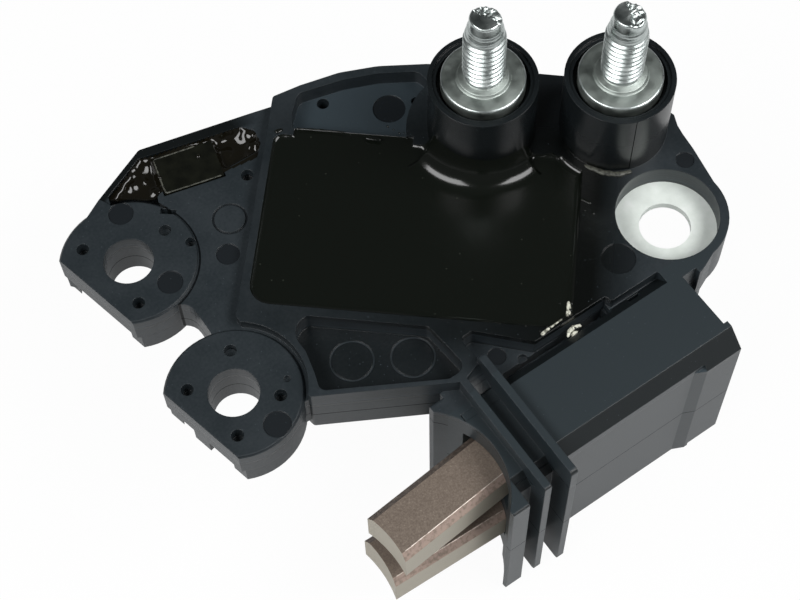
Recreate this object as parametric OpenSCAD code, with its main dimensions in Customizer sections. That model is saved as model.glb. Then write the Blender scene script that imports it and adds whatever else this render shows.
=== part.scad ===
// Alternator voltage regulator with its brush holder, in millimetres.
// Origin: centre of the ground ring's hole, on the ring's underside.
// +X runs along the brushes towards the closed end of the brush box.
// +Z runs along the two threaded studs.

/* [Heights] */
// Seat under the two ear bosses
seat_z = -3.8; // [-6:0.1:-2]
// Underside of the block
block_bottom_z = -4.2; // [-6:0.1:-3]
// Top of the low field between the ears and the block
field_z = 2.4; // [1:0.1:3]
// Thickness of that field above the hollows underneath
field_t = 3.6; // [2:0.1:4]
// Top of the two ear discs
ear_z = 2.8; // [1.5:0.1:3.5]
// Top of the block, and of the brush box
deck_z = 3.7; // [3:0.1:6]
// Level of the potting resin in the bay
resin_z = 3.3; // [2.5:0.1:5]
// Rim of the two stud turrets
turret_z = 13.7; // [10:0.1:18]
// Underside of the brush box
box_bottom_z = -21.8; // [-25:0.1:-15]
// Depth of the round marks the ejector pins left
mark_depth = 0.12; // [0.05:0.01:0.3]

/* [Ears and ground ring] */
// Centre of the outer ear's bolt hole
ear_1_at = [-54.43, 31.47];
// Centre of the inner ear's bolt hole
ear_2_at = [-53.39, 10.22];
// Radius of the outer ear's disc
ear_1_r = 8.15; // [7:0.05:10]
// Radius of the inner ear's disc
ear_2_r = 7.95; // [7:0.05:10]
// Radius of the bolt hole in an ear
ear_bore_r = 2.95; // [2.5:0.05:3.5]
// Radius of the boss under an ear
ear_boss_r = 4.1; // [3.6:0.1:6]
// Distance from the bolt hole to the straight cut
ear_flat = 5.3; // [4:0.1:8]
// Direction of the straight cut's outward normal
ear_cut_angle = 193.2; // [180:0.1:210]
// Thickness of the ear above the open straight side
ear_slab = 3.8; // [2:0.1:5]
// Thickness of the round wall under an ear
ear_wall = 1.48; // [1:0.02:2.5]
// Step from the ear's disc in to that wall
ear_step = 0.12; // [0.05:0.01:0.3]
// Radius of the core-pin holes in the ears
pin_r = 0.72; // [0.4:0.01:1]
// Depth of the core-pin holes
pin_depth = 1.6; // [0.5:0.1:2.5]
// Distance of the outer ear's core-pin holes from its bolt hole
ear_1_pins_r = 5.7; // [4:0.05:7]
// Distance of the inner ear's core-pin holes from its bolt hole
ear_2_pins_r = 5.25; // [4:0.05:7]
// Radius of the ear that holds the ground ring
ear_3_r = 7.15; // [6.5:0.05:9]
// Radius of the ground ring's hole
ring_bore_r = 3.06; // [2.5:0.01:3.5]
// Outer radius of the ground ring
ring_r = 6.7; // [6.2:0.1:7]
// Thickness of the ground ring
ring_t = 0.9; // [0.6:0.1:1.5]
// Radius of the recess above and below the ground ring
ring_recess_r = 6.1; // [5:0.1:6.5]

/* [Studs and turrets] */
// Centre of the left stud
stud_1_at = [-10.68, 22.21];
// Centre of the right stud
stud_2_at = [2.41, 13.44];
// Outer radius of a turret
turret_r = 6.46; // [6:0.01:8]
// Width of the rim's small outer step
rim_step = 0.55; // [0.3:0.05:1]
// Width of the groove round the stud's flange
rim_groove = 0.5; // [0.2:0.05:0.8]
// Deck left between the left turret and the shallow pocket
turret_1_deck = 2.54; // [1:0.02:4]
// Deck left between the right turret and the bay
turret_2_deck = 1.14; // [0.5:0.02:3]
// Radius of the thread, M5
thread_r = 2.5; // [2:0.5:4]
// Length of the thread above the stud's collar
thread_len = 8.5; // [6:0.1:14]
// Radius of the dog point
dog_r = 1.86; // [1.5:0.01:2.2]
// Length of the dog point
dog_len = 2.1; // [1:0.1:3]
// Radius of the stud's flange
flange_r = 4.95; // [4:0.05:6]
// Thickness of the stud's flange
flange_t = 2.0; // [1:0.1:3]
// Radius of the collar at the foot of the thread
collar_r = 3.1; // [2.6:0.1:4]
// Height of that collar
collar_h = 0.6; // [0.3:0.1:1]
// Radius of the stud's riveted foot
foot_r = 3.7; // [3.2:0.1:5]
// Radius of the stud's shank inside the turret
shank_r = 3.0; // [2.5:0.1:4]
// How far the stud's flange stands above the rim
flange_proud = 0.7; // [0.2:0.1:1.5]

/* [Bay] */
// Turn of the potting bay about Z
bay_angle = -40.7; // [-60:0.1:-20]
// Bay limits along its own length
bay_u = [-47.2, -10.2];
// Bay limits across its own length
bay_n = [-16.1, 6.8];
// Edge of the pocket beyond the bay, on the same axis
pocket_n = 7.9; // [7:0.1:10]
// Length of the low wall there that the resin covers
film_len = 14.4; // [8:0.1:20]
// Thickness of the resin over that wall
film_t = 0.4; // [0.2:0.1:0.8]
// Floor of the bay, where the heat-sink plate shows
bay_floor_z = -2.2; // [-3:0.1:0]
// Floor of the shallow pocket beside the studs
top_pocket_z = 1.5; // [0:0.1:3]
// Floor of the pocket beside the inner ear
low_pocket_z = 1.0; // [-1:0.1:3]
// Floor of the capacitor's pocket
cap_pocket_z = -0.6; // [-2:0.1:2]
// Level of the resin in the capacitor's pocket
cap_resin_z = 1.3; // [0:0.1:2.4]

/* [Filter capacitor] */
// Centre of the capacitor
filter_cap_at = [-42.0, 38.55];
// Turn of the capacitor in its pocket
filter_cap_angle = -14; // [-30:1:0]
// Length, width and height of the capacitor
filter_cap_size = [7.4, 5.2, 3.1];
// Clearance round the capacitor
filter_cap_gap = 0.15; // [0.05:0.05:0.5]

/* [Brush box] */
// Floor of the trench beside the brush box
trench_z = 0.8; // [0:0.1:2.5]
// End of that trench along X
trench_end_x = -12.6; // [-20:0.1:-10]
// Centre line of the brush box
box_y = -11.3; // [-14:0.1:-9]
// Width of the brush box
box_w = 11.6; // [10:0.1:14]
// Chamfer on the long edges
box_chamfer = 1.55; // [0.5:0.05:3]
// Open end and closed end of the box along X
box_x = [-28.4, -3.3];
// Start of the collar at the closed end
collar_x = -8.2; // [-12:0.1:-6]
// How far the collar stands proud
collar_proud = 0.65; // [0.2:0.05:1.5]
// How far the rear face is set back between its corners
rear_recess_d = 0.55; // [0.2:0.05:1]
// Length of the sloped shoulder in front of the collar
collar_ramp_len = 1.4; // [0.5:0.1:3]
// Top of the neck between the three flanges
neck_z = 1.7; // [0:0.1:3]
// Underside of the neck
neck_bottom_z = -19.4; // [-21:0.1:-17]
// Centre of the round cut-away for the slip rings, along X
saddle_x = -43.1; // [-46:0.1:-40]
// Radius of that cut-away
saddle_r = 9.9; // [8:0.1:12]
// Width of a brush channel
channel_w = 8.7; // [8:0.1:9.5]
// Height of a brush channel
channel_h = 5.7; // [5.5:0.1:6.5]

// Flanges across the neck, as distances from the box's open end to their two
// faces, then their left side, right side and underside
rear_flange = [-0.9, 0, -2.6, -19.95, -21.7];
// Flange in the middle
middle_flange = [-3.9, -3.0, -3.3, -19.35, -22.0];
// Thick flange in front
front_flange = [-7.9, -5.7, -3.3, -19.2, -22.6];
// How far the rear flange stands above the deck
rear_flange_rise = 1.4; // [0:0.1:3]

/* [Board and terminals] */
// Front face of the cap that carries the terminals, along X
terminal_x = -5.0;
// Thickness of a brush terminal
terminal_t = 0.6; // [0.3:0.1:1]
// Thickness of a stud's strip
strip_t = 0.8; // [0.4:0.1:1.2]
// Underside of the stud strips
strip_z = 0.2;
// Underside of the circuit board
board_z = -0.8;
// Thickness of the circuit board
board_t = 1.0; // [0.6:0.1:1.6]
// Corner of the circuit board, on the bay's axes
board_corner = [-44, -12];
// Length and width of the circuit board
board_size = [29, 14.8];

/* [Brushes] */
// Brush width across the slip ring
brush_w = 6.6; // [6:0.1:7.5]
// Brush height along the slip ring's axis
brush_h = 5.3; // [4:0.1:6]
// Brush length
brush_len = 20.2; // [12:0.1:22]
// Chamfer on the brush's upper edges
brush_chamfer = 0.8; // [0.3:0.1:1.2]
// Radius worn into the brush's tip
slip_ring_r = 14.5; // [10:0.5:20]
// Centre of the upper brush's rear face
upper_at = [-28.2, -10.4, -4.55];
// Turn of the upper brush in its channel
upper_yaw = 5.0; // [-6:0.1:6]
// Centre of the lower brush's rear face
lower_at = [-28.8, -12.2, -12.75];
// Turn of the lower brush in its channel
lower_yaw = -2.0; // [-6:0.1:6]
// Outer radius of a brush spring
spring_r = 2.2; // [1.5:0.1:2.6]
// Radius of the spring wire
spring_wire_r = 0.22; // [0.15:0.01:0.4]
// Number of spring turns
spring_turns = 15; // [8:1:24]
// Radius of a braided lead
lead_r = 0.7; // [0.4:0.1:1]

/* [Hidden] */
$fn = 64;
eps = 0.02;
over = 40;
box_left = box_y + box_w / 2;
box_right = box_y - box_w / 2;
stud_top = turret_z + flange_proud;
channel_left = box_y + channel_w / 2;
upper_channel_z = upper_at[2] - channel_h / 2;
lower_channel_z = lower_at[2] - channel_h / 2;
web_end_x = terminal_x - terminal_t;
hollow_top_z = field_z - field_t;
ear_under_z = ear_z - ear_slab;

moulding = [0.17, 0.19, 0.21];
zinc = [0.80, 0.83, 0.86];
copper = [0.75, 0.48, 0.33];
carbon = [0.45, 0.38, 0.34];

// Points of an arc of radius r about c, from angle a to angle b in degrees.
function arc(c, r, a, b, n) =
  [for (i = [0:n]) let(t = a + (b - a) * i / n) [c[0] + r * cos(t), c[1] + r * sin(t)]];

// The direction of v, one unit long.
function unit(v) = v / norm(v);

// One corner of an outline, rounded to radius r where r is above zero.
function corner(a, b, c, r, n = 5) =
  r <= 0 ? [b] :
  let(
    u = unit(a - b),
    v = unit(c - b),
    half = acos(u * v) / 2,
    reach = r / tan(half),
    o = b + unit(u + v) * (r / sin(half)),
    p = b + u * reach,
    q = b + v * reach,
    s = atan2(p[1] - o[1], p[0] - o[0]),
    e = atan2(q[1] - o[1], q[0] - o[0]),
    d = ((e - s + 540) % 360) - 180
  )
  arc(o, r, s, s + d, n);

// An outline from [x, y, r] corners, each rounded to its own radius.
function rounded(p) =
  let(k = len(p))
  [for (i = [0:k - 1])
    let(a = p[(i + k - 1) % k], b = p[i], c = p[(i + 1) % k])
    each corner([a[0], a[1]], [b[0], b[1]], [c[0], c[1]], b[2])];

module slab(z0, z1) {
  translate([0, 0, z0])
    linear_extrude(z1 - z0)
      children();
}

module rod_z(at, r, z0, z1) {
  translate([at[0], at[1], z0])
    cylinder(r = r, h = z1 - z0);
}

module rod_x(at, r, length) {
  translate(at)
    rotate([0, 90, 0])
      cylinder(r = r, h = length);
}

// A disc whose top edge has a small chamfer.
module edged_disc(at, r, z0, z1, c) {
  rod_z(at, r, z0, z1 - c);
  translate([at[0], at[1], z1 - c])
    cylinder(r1 = r, r2 = r - c, h = c);
}

// A plate across the brush axis, from x0 to x1, with chamfered long edges.
module box_bar(x0, x1, grow, z0, z1, c) {
  w = box_w / 2 + grow;
  translate([x0, box_y, 0])
    rotate([90, 0, 90])
      linear_extrude(x1 - x0)
        polygon([
          [-w + c, z0], [w - c, z0], [w, z0 + c], [w, z1 - c],
          [w - c, z1], [-w + c, z1], [-w, z1 - c], [-w, z0 + c]
        ]);
}

// A flange f across the brush axis up to top, its upper corners rounded to r.
module cross_flange(f, top, r) {
  translate([box_x[0] + f[0], 0, 0])
    rotate([90, 0, 90])
      linear_extrude(f[1] - f[0])
        polygon(rounded([[f[2], top, r], [f[2], f[4], 0.6], [f[3], f[4], 0.6], [f[3], top, r]]));
}

module bay_frame() {
  rotate(bay_angle)
    children();
}

// The straight side of an ear, this far from the bolt hole.
module ear_side(at, reach) {
  translate(at)
    rotate(ear_cut_angle)
      translate([reach, -over / 2])
        square([over, over]);
}

// Everything the block's top face covers, with the turret and the ring's ear.
module block_outline() {
  polygon(rounded([
    [-28.6, 40.5, 0.5], [-25.0, 39.95, 0], [-20.1, 38.75, 6], [-15.7, 36.8, 8],
    [-10.5, 33.5, 4], [6.1, 18.75, 0], [2.4, 13.4, 0], [-1.1, -8.0, 0], [-3.3, -8.6, 0],
    [-3.3, -9.5, 0], [-5.7, -9.5, 0], [-5.7, -5.3, 0.3], [-12.3, -5.3, 0.3],
    [-12.6, -4.4, 0.3], [-28.6, -4.5, 0], [-28.8, -3.05, 0], [-29.8, -3.05, 0],
    [-31.6, -3.7, 0], [-32.5, -3.5, 0], [-44.9, 3.4, 0.8], [-46.9, 4.5, 0.5],
    [-47.5, 8.0, 0], [-48.3, 17.8, 0.6]
  ]));
  translate(stud_2_at)
    circle(turret_r);
  circle(ear_3_r);
  polygon([
    [8.6, 13.0], [9.25, 10.3], [8.65, 8.9], [8.4, 7.7], [8.1, 5.3], [7.1, 0.0],
    [0, 1], [-2, 10], [3, 15]
  ]);
  polygon([[3.3, -6.1], [-1.1, -8.0], [-4, -6], [0, 1]]);
}

// The low field between the ears, the capacitor's pocket and the block.
module field_outline() {
  polygon(rounded([
    [-60.9, 35.8, 0], [-57.4, 38.5, 0], [-55.9, 39.35, 0], [-53.1, 40.85, 0],
    [-45.6, 44.15, 0.8], [-31.7, 40.8, 0], [-28.2, 39.9, 0], [-29.0, 37.0, 0],
    [-45.0, 17.0, 0], [-44.6, 12.0, 0], [-44.6, 6.0, 0], [-46.0, 4.8, 0],
    [-50.0, 5.0, 0], [-52.0, 12.0, 0], [-51.45, 18.8, 0], [-51.45, 23.1, 2.2],
    [-53.9, 24.0, 0], [-54.5, 28.0, 0]
  ]));
}

// The potting bay's outline, grown by g.
module bay_outline(g) {
  difference() {
    intersection() {
      bay_frame()
        polygon(rounded([
          [bay_u[0] - g, bay_n[0] - g, 2.5], [bay_u[0] - g, bay_n[1] + g, 1.2],
          [bay_u[1] + g, bay_n[1] + g, 1.2], [bay_u[1] + g, bay_n[0] - g, 2]
        ]));
      polygon([[-60, -4.1 - g], [over, -4.1 - g], [over, 60], [-60, 60]]);
    }
    translate(stud_2_at)
      circle(turret_r + turret_2_deck - g);
  }
}

// An ear: a disc with one straight side, over a round wall and a boss.
module ear(at, r) {
  difference() {
    edged_disc(at, r, ear_under_z, ear_z, 0.25);
    slab(seat_z, ear_z + 1)
      ear_side(at, ear_flat);
  }
  slab(seat_z, ear_under_z + 0.1)
    difference() {
      translate(at)
        circle(r - ear_step);
      translate(at)
        circle(r - ear_step - ear_wall);
      ear_side(at, ear_flat - 0.4);
    }
  slab(seat_z, ear_under_z + 0.1)
    difference() {
      translate(at)
        circle(ear_boss_r);
      ear_side(at, ear_flat - 1.6);
    }
}

// The short rib that carries an ear's boss out to the straight side.
module ear_rib(at) {
  slab(seat_z, ear_under_z + 0.1)
    translate(at)
      rotate(ear_cut_angle)
        translate([ear_bore_r + 0.6, -1.9])
          square([ear_flat - ear_bore_r - 0.75, 2.45]);
}

// Gusset level with the outer ear, out to the wall of the capacitor's pocket.
module ear_gusset() {
  slab(field_z - 1, ear_z)
    polygon([[-55.5, 39.35], [-53.0, 40.7], [-52.3, 39.2], [-53.4, 37.2], [-55.2, 37.4]]);
}

module turret(at) {
  difference() {
    rod_z(at, turret_r, seat_z + 1, turret_z);
    rod_z(at, turret_r - rim_step, turret_z - 0.25, turret_z + 1);
    difference() {
      rod_z(at, flange_r + rim_groove, turret_z - 1.6, turret_z + 1);
      rod_z(at, flange_r, turret_z - 2, turret_z + 1);
    }
  }
}

module pin_hole(at, r, depth, top) {
  rod_z(at, r, top - depth, top + 1);
}

function about(c, r, a) = [c[0] + r * cos(a), c[1] + r * sin(a)];

module ear_marks() {
  for (a = [129, 11, -109])
    pin_hole(about(ear_1_at, ear_1_pins_r, a), pin_r, pin_depth, ear_z);
  for (a = [141.2, 62.2, -38.8, -117.8])
    pin_hole(about(ear_2_at, ear_2_pins_r, a), pin_r, pin_depth, ear_z);
  pin_hole([-51.9, 37.5], 1.5, mark_depth, ear_z);
  pin_hole([-51.9, 26.3], 1.5, mark_depth, ear_z);
  pin_hole([-51.5, 4.2], 1.6, mark_depth, ear_z);
  pin_hole([-47.2, 29.5], 0.6, 1.2, ear_z);
  pin_hole([-47.6, 8.2], 0.4, 0.4, ear_z);
  translate([-47.2, 34.6, ear_z - pin_depth])
    rotate(-38)
      translate([-0.9, -0.4, 0])
        cube([1.8, 0.8, 3]);
}

module deck_marks() {
  pin_hole([-8.3, -1.4], 2.0, mark_depth, deck_z);
  pin_hole([6.3, 4.6], 1.1, mark_depth, deck_z);
}

// The thin ring that an insert in the mould left.
module ring_mark(at, r, top) {
  difference() {
    pin_hole(at, r, mark_depth, top);
    pin_hole(at, r - 0.25, mark_depth + 0.1, top);
  }
}

module field_marks() {
  pin_hole([-36.8, 33.6], 0.75, 1.4, field_z);
  pin_hole([-44.4, 25.8], 1.4, mark_depth, field_z);
  ring_mark([-41.7, 29.7], 2.1, field_z);
}

// Low wall between the bay and the shallow pocket, which the resin covers.
module film_outline() {
  bay_frame()
    translate([bay_u[0] + 2.3, bay_n[1] - 0.5])
      square([film_len, pocket_n - bay_n[1] + 0.5]);
}

// Shallow pocket between the bay and the block's curved edge.
module top_pocket() {
  slab(top_pocket_z, deck_z + 1)
    difference() {
      polygon(rounded([
        [-28.1, 37.0, 0.8], [-25.9, 39.1, 1.2], [-20.3, 37.6, 6], [-16.1, 35.8, 8],
        [-12.2, 33.3, 1.2], [-11.8, 30.5, 0], [-17, 22, 0], [-30.0, 34.0, 0]
      ]));
      bay_frame()
        translate([-80, -80 + pocket_n])
          square([160, 80]);
      translate(stud_1_at)
        circle(turret_r + turret_1_deck);
    }
  pin_hole([-23.5, 37.4], 0.75, 3.0, top_pocket_z);
  pin_hole([-17.3, 32.1], 2.0, mark_depth, top_pocket_z);
  pin_hole([-14.0, 31.1], 0.6, 1.4, top_pocket_z);
}

// Pocket between the bay and the block's front wall.
module low_pocket() {
  slab(low_pocket_z, deck_z + 1)
    polygon(rounded([
      [-44.3, 13.2, 2.2], [-41.6, 13.1, 0.8], [-31.2, 4.1, 0.9], [-30.6, -2.6, 1.2],
      [-33.0, -2.6, 0.6], [-45.6, 4.5, 0.9], [-44.9, 6.6, 0.8], [-44.2, 9.5, 1]
    ]));
  ring_mark([-40.0, 6.6], 2.6, low_pocket_z);
  ring_mark([-34.1, 3.0], 2.6, low_pocket_z);
}

// Small pocket that opens into the trench beside the brush box.
module corner_pocket() {
  slab(trench_z, deck_z + 1)
    polygon(rounded([
      [-29.2, 0.8, 0.7], [-27.5, 0.8, 0.7], [-22.3, -4.6, 0], [-19.0, -7.0, 0],
      [-28.0, -7.0, 0], [-29.0, -3.5, 0.5]
    ]));
  pin_hole([-26.2, -2.3], 1.1, mark_depth, trench_z);
  pin_hole([-24.0, -4.3], 0.6, 0.6, trench_z);
}

// Narrow trench between the block and the brush box, with the slot at its end.
module trench() {
  translate([box_x[0], box_left - 0.4, trench_z])
    cube([trench_end_x - box_x[0], 1.5, over]);
  translate([-17.6, -5.45, block_bottom_z - 1])
    cube([0.9, 0.85, over]);
  translate([-10.4, box_left - 0.7, trench_z])
    cube([1.7, 0.5, over]);
}

// Floor of the shallow groove that carries the trench on to the box's closed end.
module groove_floor() {
  translate([trench_end_x - 0.2, box_left - 0.3, block_bottom_z])
    cube([7.2, 1.4, deck_z - box_chamfer - 0.1 - block_bottom_z]);
}

module capacitor_pocket() {
  slab(cap_pocket_z, deck_z + 1)
    polygon(rounded([
      [-52.4, 40.4, 0.4], [-46.2, 43.1, 0.5], [-33.9, 39.9, 0.8], [-32.6, 38.4, 0.8],
      [-33.6, 35.7, 0.8], [-38.6, 35.8, 0.3], [-46.4, 37.6, 0.3], [-47.4, 37.0, 0]
    ]));
  translate([filter_cap_at[0], filter_cap_at[1], cap_pocket_z])
    rotate(filter_cap_angle)
      linear_extrude(over)
        square([
          filter_cap_size[0] + 2 * filter_cap_gap, filter_cap_size[1] + 2 * filter_cap_gap
        ], center = true);
}

// Crescent-shaped groove between the outer ear's disc and the capacitor's pocket.
module crescent_groove() {
  slab(field_z - 1.4, ear_z + 1)
    difference() {
      intersection() {
        translate(ear_1_at + [0.5, 0.4])
          circle(ear_1_r + 0.45);
        translate(ear_1_at)
          polygon([[0, 0], [3.2, 11.6], [12, 12], [12, 6]]);
      }
      translate(ear_1_at)
        circle(ear_1_r);
    }
}

// Hollows under the low field and the block that keep the walls even.
module underside() {
  slab(block_bottom_z - 1, hollow_top_z)
    difference() {
      polygon(rounded([
        [-51.2, 38.6, 1], [-45.7, 41.3, 1], [-33.5, 38.9, 1], [-34.5, 35.2, 1],
        [-46.6, 20.6, 1], [-50.6, 20.6, 1], [-45.0, 31.5, 2]
      ]));
      translate([-47.0, 26.0])
        square([20, 1.6]);
    }
  slab(block_bottom_z - 1, hollow_top_z)
    polygon(rounded([
      [-43.9, 12.0, 1.5], [-41.6, 11.6, 1], [-32.0, 3.4, 1], [-32.0, -1.8, 1],
      [-43.6, 4.6, 1]
    ]));
  rod_z([0, 0], ear_3_r + 0.6, block_bottom_z - 1, seat_z + 1.2);
  rod_z([0, 0], ring_recess_r, block_bottom_z - 1, 0);
}

// Sloped shoulder from the box's long side up to the collar.
module collar_ramp() {
  slab(box_bottom_z + box_chamfer, deck_z - box_chamfer - collar_proud)
    polygon([
      [collar_x - collar_ramp_len, box_right + 0.1], [collar_x - collar_ramp_len, box_right],
      [collar_x, box_right - collar_proud], [collar_x + 0.5, box_right - collar_proud],
      [collar_x + 0.5, box_right + 0.1]
    ]);
}

// What fills the gaps between the flanges and the block's front wall.
module flange_webs() {
  translate([box_x[0] + front_flange[1] - 0.3, -6.2, neck_bottom_z + 1])
    cube([middle_flange[0] - front_flange[1] + 0.6, 3.5, neck_z - neck_bottom_z - 1]);
  translate([box_x[0] + middle_flange[1] - 0.4, 0, 0])
    rotate([90, 0, 90])
      linear_extrude(rear_flange[0] - middle_flange[1] + 0.8)
        polygon(concat(
          [[-2.95, neck_bottom_z + 1], [-2.95, deck_z]],
          arc([-7.2, deck_z + 2.8], 5.06, -33.6, -70, 6),
          [[-6.2, neck_bottom_z + 1]]
        ));
}

module brush_box() {
  box_bar(box_x[0] - 0.5, box_x[1], 0, box_bottom_z, deck_z, box_chamfer);
  difference() {
    union() {
      box_bar(collar_x, box_x[1], collar_proud, box_bottom_z, deck_z, box_chamfer + collar_proud);
      collar_ramp();
    }
    translate([collar_x - collar_ramp_len - 1, box_left, deck_z - 1.2])
      cube([20, 2, 4]);
  }
  box_bar(
    box_x[0] + front_flange[1] - 0.5, box_x[0] - 0.4, -0.1, neck_bottom_z, neck_z, box_chamfer
  );
  cross_flange(rear_flange, deck_z + rear_flange_rise, 0.6);
  cross_flange(middle_flange, deck_z, 0.3);
  cross_flange(front_flange, neck_z, 0.3);
  flange_webs();
}

// Rear face of the box, set back between its two corners.
module rear_recess() {
  translate([box_x[1] - rear_recess_d, box_right + 2.3, box_bottom_z - 1])
    cube([2, box_w - 4.3, over]);
}

module brush_channels() {
  for (z = [upper_channel_z, lower_channel_z])
    translate([-40, box_y - channel_w / 2, z])
      cube([40 + web_end_x, channel_w, channel_h]);
  translate([web_end_x, box_y - channel_w / 2, lower_channel_z])
    cube([box_x[1] - web_end_x + 0.1, channel_w, upper_channel_z + channel_h - lower_channel_z]);
  rod_z([saddle_x, box_y], saddle_r, box_bottom_z - 2, deck_z + 2);
}

module housing_solid() {
  difference() {
    union() {
      slab(block_bottom_z, deck_z)
        block_outline();
      groove_floor();
      slab(seat_z + 0.8, field_z)
        field_outline();
    }
    top_pocket();
    low_pocket();
    corner_pocket();
    capacitor_pocket();
    crescent_groove();
    underside();
    rod_z([0, 0], ring_recess_r, ring_t, deck_z + 1);
    rod_z(ear_2_at, ear_2_r + 0.45, field_z, deck_z + 1);
    slab(block_bottom_z - 1, deck_z + 1)
      bay_outline(0);
    slab(resin_z - film_t, deck_z + 1)
      film_outline();
  }
  ear(ear_1_at, ear_1_r);
  ear_gusset();
  ear(ear_2_at, ear_2_r);
  ear_rib(ear_2_at);
  turret(stud_1_at);
  turret(stud_2_at);
  brush_box();
}

module housing() {
  color(moulding)
    difference() {
      housing_solid();
      trench();
      rod_z(ear_1_at, ear_bore_r, block_bottom_z - 1, ear_z + 1);
      rod_z(ear_2_at, ear_bore_r, block_bottom_z - 1, ear_z + 1);
      rod_z([0, 0], ring_bore_r, block_bottom_z - 1, deck_z);
      ear_marks();
      field_marks();
      deck_marks();
      brush_channels();
      rear_recess();
      heat_sink_solid();
      cap_solid();
      ring_solid();
      stud_solid(stud_1_at);
      stud_solid(stud_2_at);
      strip_left_solid();
      strip_right_solid();
      upper_terminal_solid();
      lower_terminal_solid();
    }
}

// Plate that closes the end of the brush box and holds the terminals.
module cap_solid() {
  translate([terminal_x, box_y - channel_w / 2, lower_channel_z])
    cube([
      box_x[1] - rear_recess_d - 0.15 - terminal_x, channel_w,
      upper_channel_z + channel_h - lower_channel_z
    ]);
}

module brush_box_cap() {
  color(moulding)
    cap_solid();
}

module heat_sink_solid() {
  slab(block_bottom_z + 0.2, bay_floor_z)
    bay_outline(0.9);
}

module heat_sink_plate() {
  color([0.77, 0.79, 0.80])
    heat_sink_solid();
}

// The ring that carries the regulator's ground, with a strap into the bay.
module ring_solid() {
  difference() {
    union() {
      rod_z([0, 0], ring_r, 0, ring_t);
      rotate(150)
        translate([0, -2, 0])
          cube([13.2, 4, ring_t]);
    }
    rod_z([0, 0], ring_bore_r, -1, 2);
  }
}

module ground_ring() {
  color(zinc)
    ring_solid();
}

module stud_solid(at) {
  thread_top = stud_top + collar_h + thread_len;
  rod_z(at, foot_r, strip_z - 0.8, strip_z);
  rod_z(at, shank_r, strip_z - 0.1, stud_top - flange_t + 0.1);
  edged_disc(at, flange_r, stud_top - flange_t, stud_top, 0.25);
  translate([at[0], at[1], stud_top - 0.1])
    cylinder(r1 = collar_r, r2 = collar_r - 0.2, h = collar_h);
  rod_z(at, thread_r, stud_top + collar_h - 0.2, thread_top - 0.4);
  translate([at[0], at[1], thread_top - 0.4])
    cylinder(r1 = thread_r, r2 = dog_r, h = 0.5);
  edged_disc(at, dog_r, thread_top, thread_top + 0.1 + dog_len, 0.3);
}

module stud_left() {
  color(zinc)
    stud_solid(stud_1_at);
}

module stud_right() {
  color(zinc)
    stud_solid(stud_2_at);
}

// Copper strips from the studs to the circuit board.
module strip_solid(at, angle, length) {
  difference() {
    union() {
      rod_z(at, foot_r + 0.6, strip_z, strip_z + strip_t);
      translate([at[0], at[1], strip_z])
        rotate(angle)
          translate([0, -2.4, 0])
            cube([length, 4.8, strip_t]);
    }
    rod_z(at, shank_r, strip_z - 1, strip_z + 2);
  }
}

module strip_left_solid() {
  strip_solid(stud_1_at, bay_angle - 90, 11.5);
}

module strip_right_solid() {
  strip_solid(stud_2_at, 186, 15);
}

module stud_strip_left() {
  color(copper)
    strip_left_solid();
}

module stud_strip_right() {
  color(copper)
    strip_right_solid();
}

// Brush terminals: a tab behind the spring and a strip into the bay.
module terminal_run(z) {
  translate([terminal_x - terminal_t, channel_left - 1.05, z])
    rotate(131.5)
      translate([0, -1, 0])
        cube([13.6, 2, terminal_t]);
}

module upper_terminal_solid() {
  x = terminal_x - terminal_t;
  tab_left = channel_left - 1.25;
  translate([x, box_y - 1.3, upper_channel_z + 0.3])
    cube([terminal_t, tab_left - box_y + 1.3, 4.9]);
  translate([x, tab_left - 1.7, upper_channel_z + 3])
    cube([terminal_t, 1.7, 4.8]);
  translate([x, tab_left - 1.7, strip_z - 0.4])
    cube([terminal_t, 2.6, terminal_t]);
  terminal_run(strip_z - 0.4);
}

module lower_terminal_solid() {
  x = terminal_x - terminal_t;
  tab_left = channel_left - 1.25;
  translate([x, box_y - 3.3, lower_channel_z + 0.3])
    cube([terminal_t, tab_left - box_y + 3.3, 4.9]);
  translate([x, tab_left + 0.1, lower_channel_z + 3])
    cube([terminal_t, 1.0, 11.4]);
  translate([x, tab_left - 0.2, lower_channel_z + 3])
    cube([terminal_t, 1.0, 1.5]);
  terminal_run(strip_z - 1.8);
}

module upper_brush_terminal() {
  color(copper)
    upper_terminal_solid();
}

module lower_brush_terminal() {
  color(copper)
    lower_terminal_solid();
}

module board_solid() {
  slab(board_z, board_z + board_t)
    bay_frame()
      translate(board_corner)
        square(board_size);
}

module circuit_board() {
  color([0.16, 0.35, 0.22])
    board_solid();
}

module chip_solid() {
  bay_frame()
    translate([-41, -7, bay_floor_z])
      cube([9, 8, board_z - bay_floor_z - 0.2]);
}

module control_chip() {
  color([0.12, 0.12, 0.13])
    chip_solid();
}

module diode_solid() {
  bay_frame()
    translate([-34, -9, board_z + board_t])
      cube([4.6, 2.6, 1.4]);
}

module freewheel_diode() {
  color([0.14, 0.14, 0.15])
    diode_solid();
}

// Resin that fills the bay and covers the low wall beside the shallow pocket.
module potting_resin() {
  color([0.05, 0.055, 0.05])
    difference() {
      union() {
        slab(bay_floor_z, resin_z)
          bay_outline(0);
        slab(resin_z - film_t, resin_z)
          film_outline();
      }
      rod_z(stud_1_at, turret_r, seat_z, turret_z);
      board_solid();
      chip_solid();
      diode_solid();
      ring_solid();
      strip_left_solid();
      strip_right_solid();
      upper_terminal_solid();
      lower_terminal_solid();
    }
}

module filter_cap_solid() {
  translate([filter_cap_at[0], filter_cap_at[1], cap_pocket_z])
    rotate(filter_cap_angle)
      translate([-filter_cap_size[0] / 2, -filter_cap_size[1] / 2, 0])
        cube(filter_cap_size);
}

module filter_capacitor() {
  color([0.55, 0.32, 0.16])
    filter_cap_solid();
}

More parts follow.
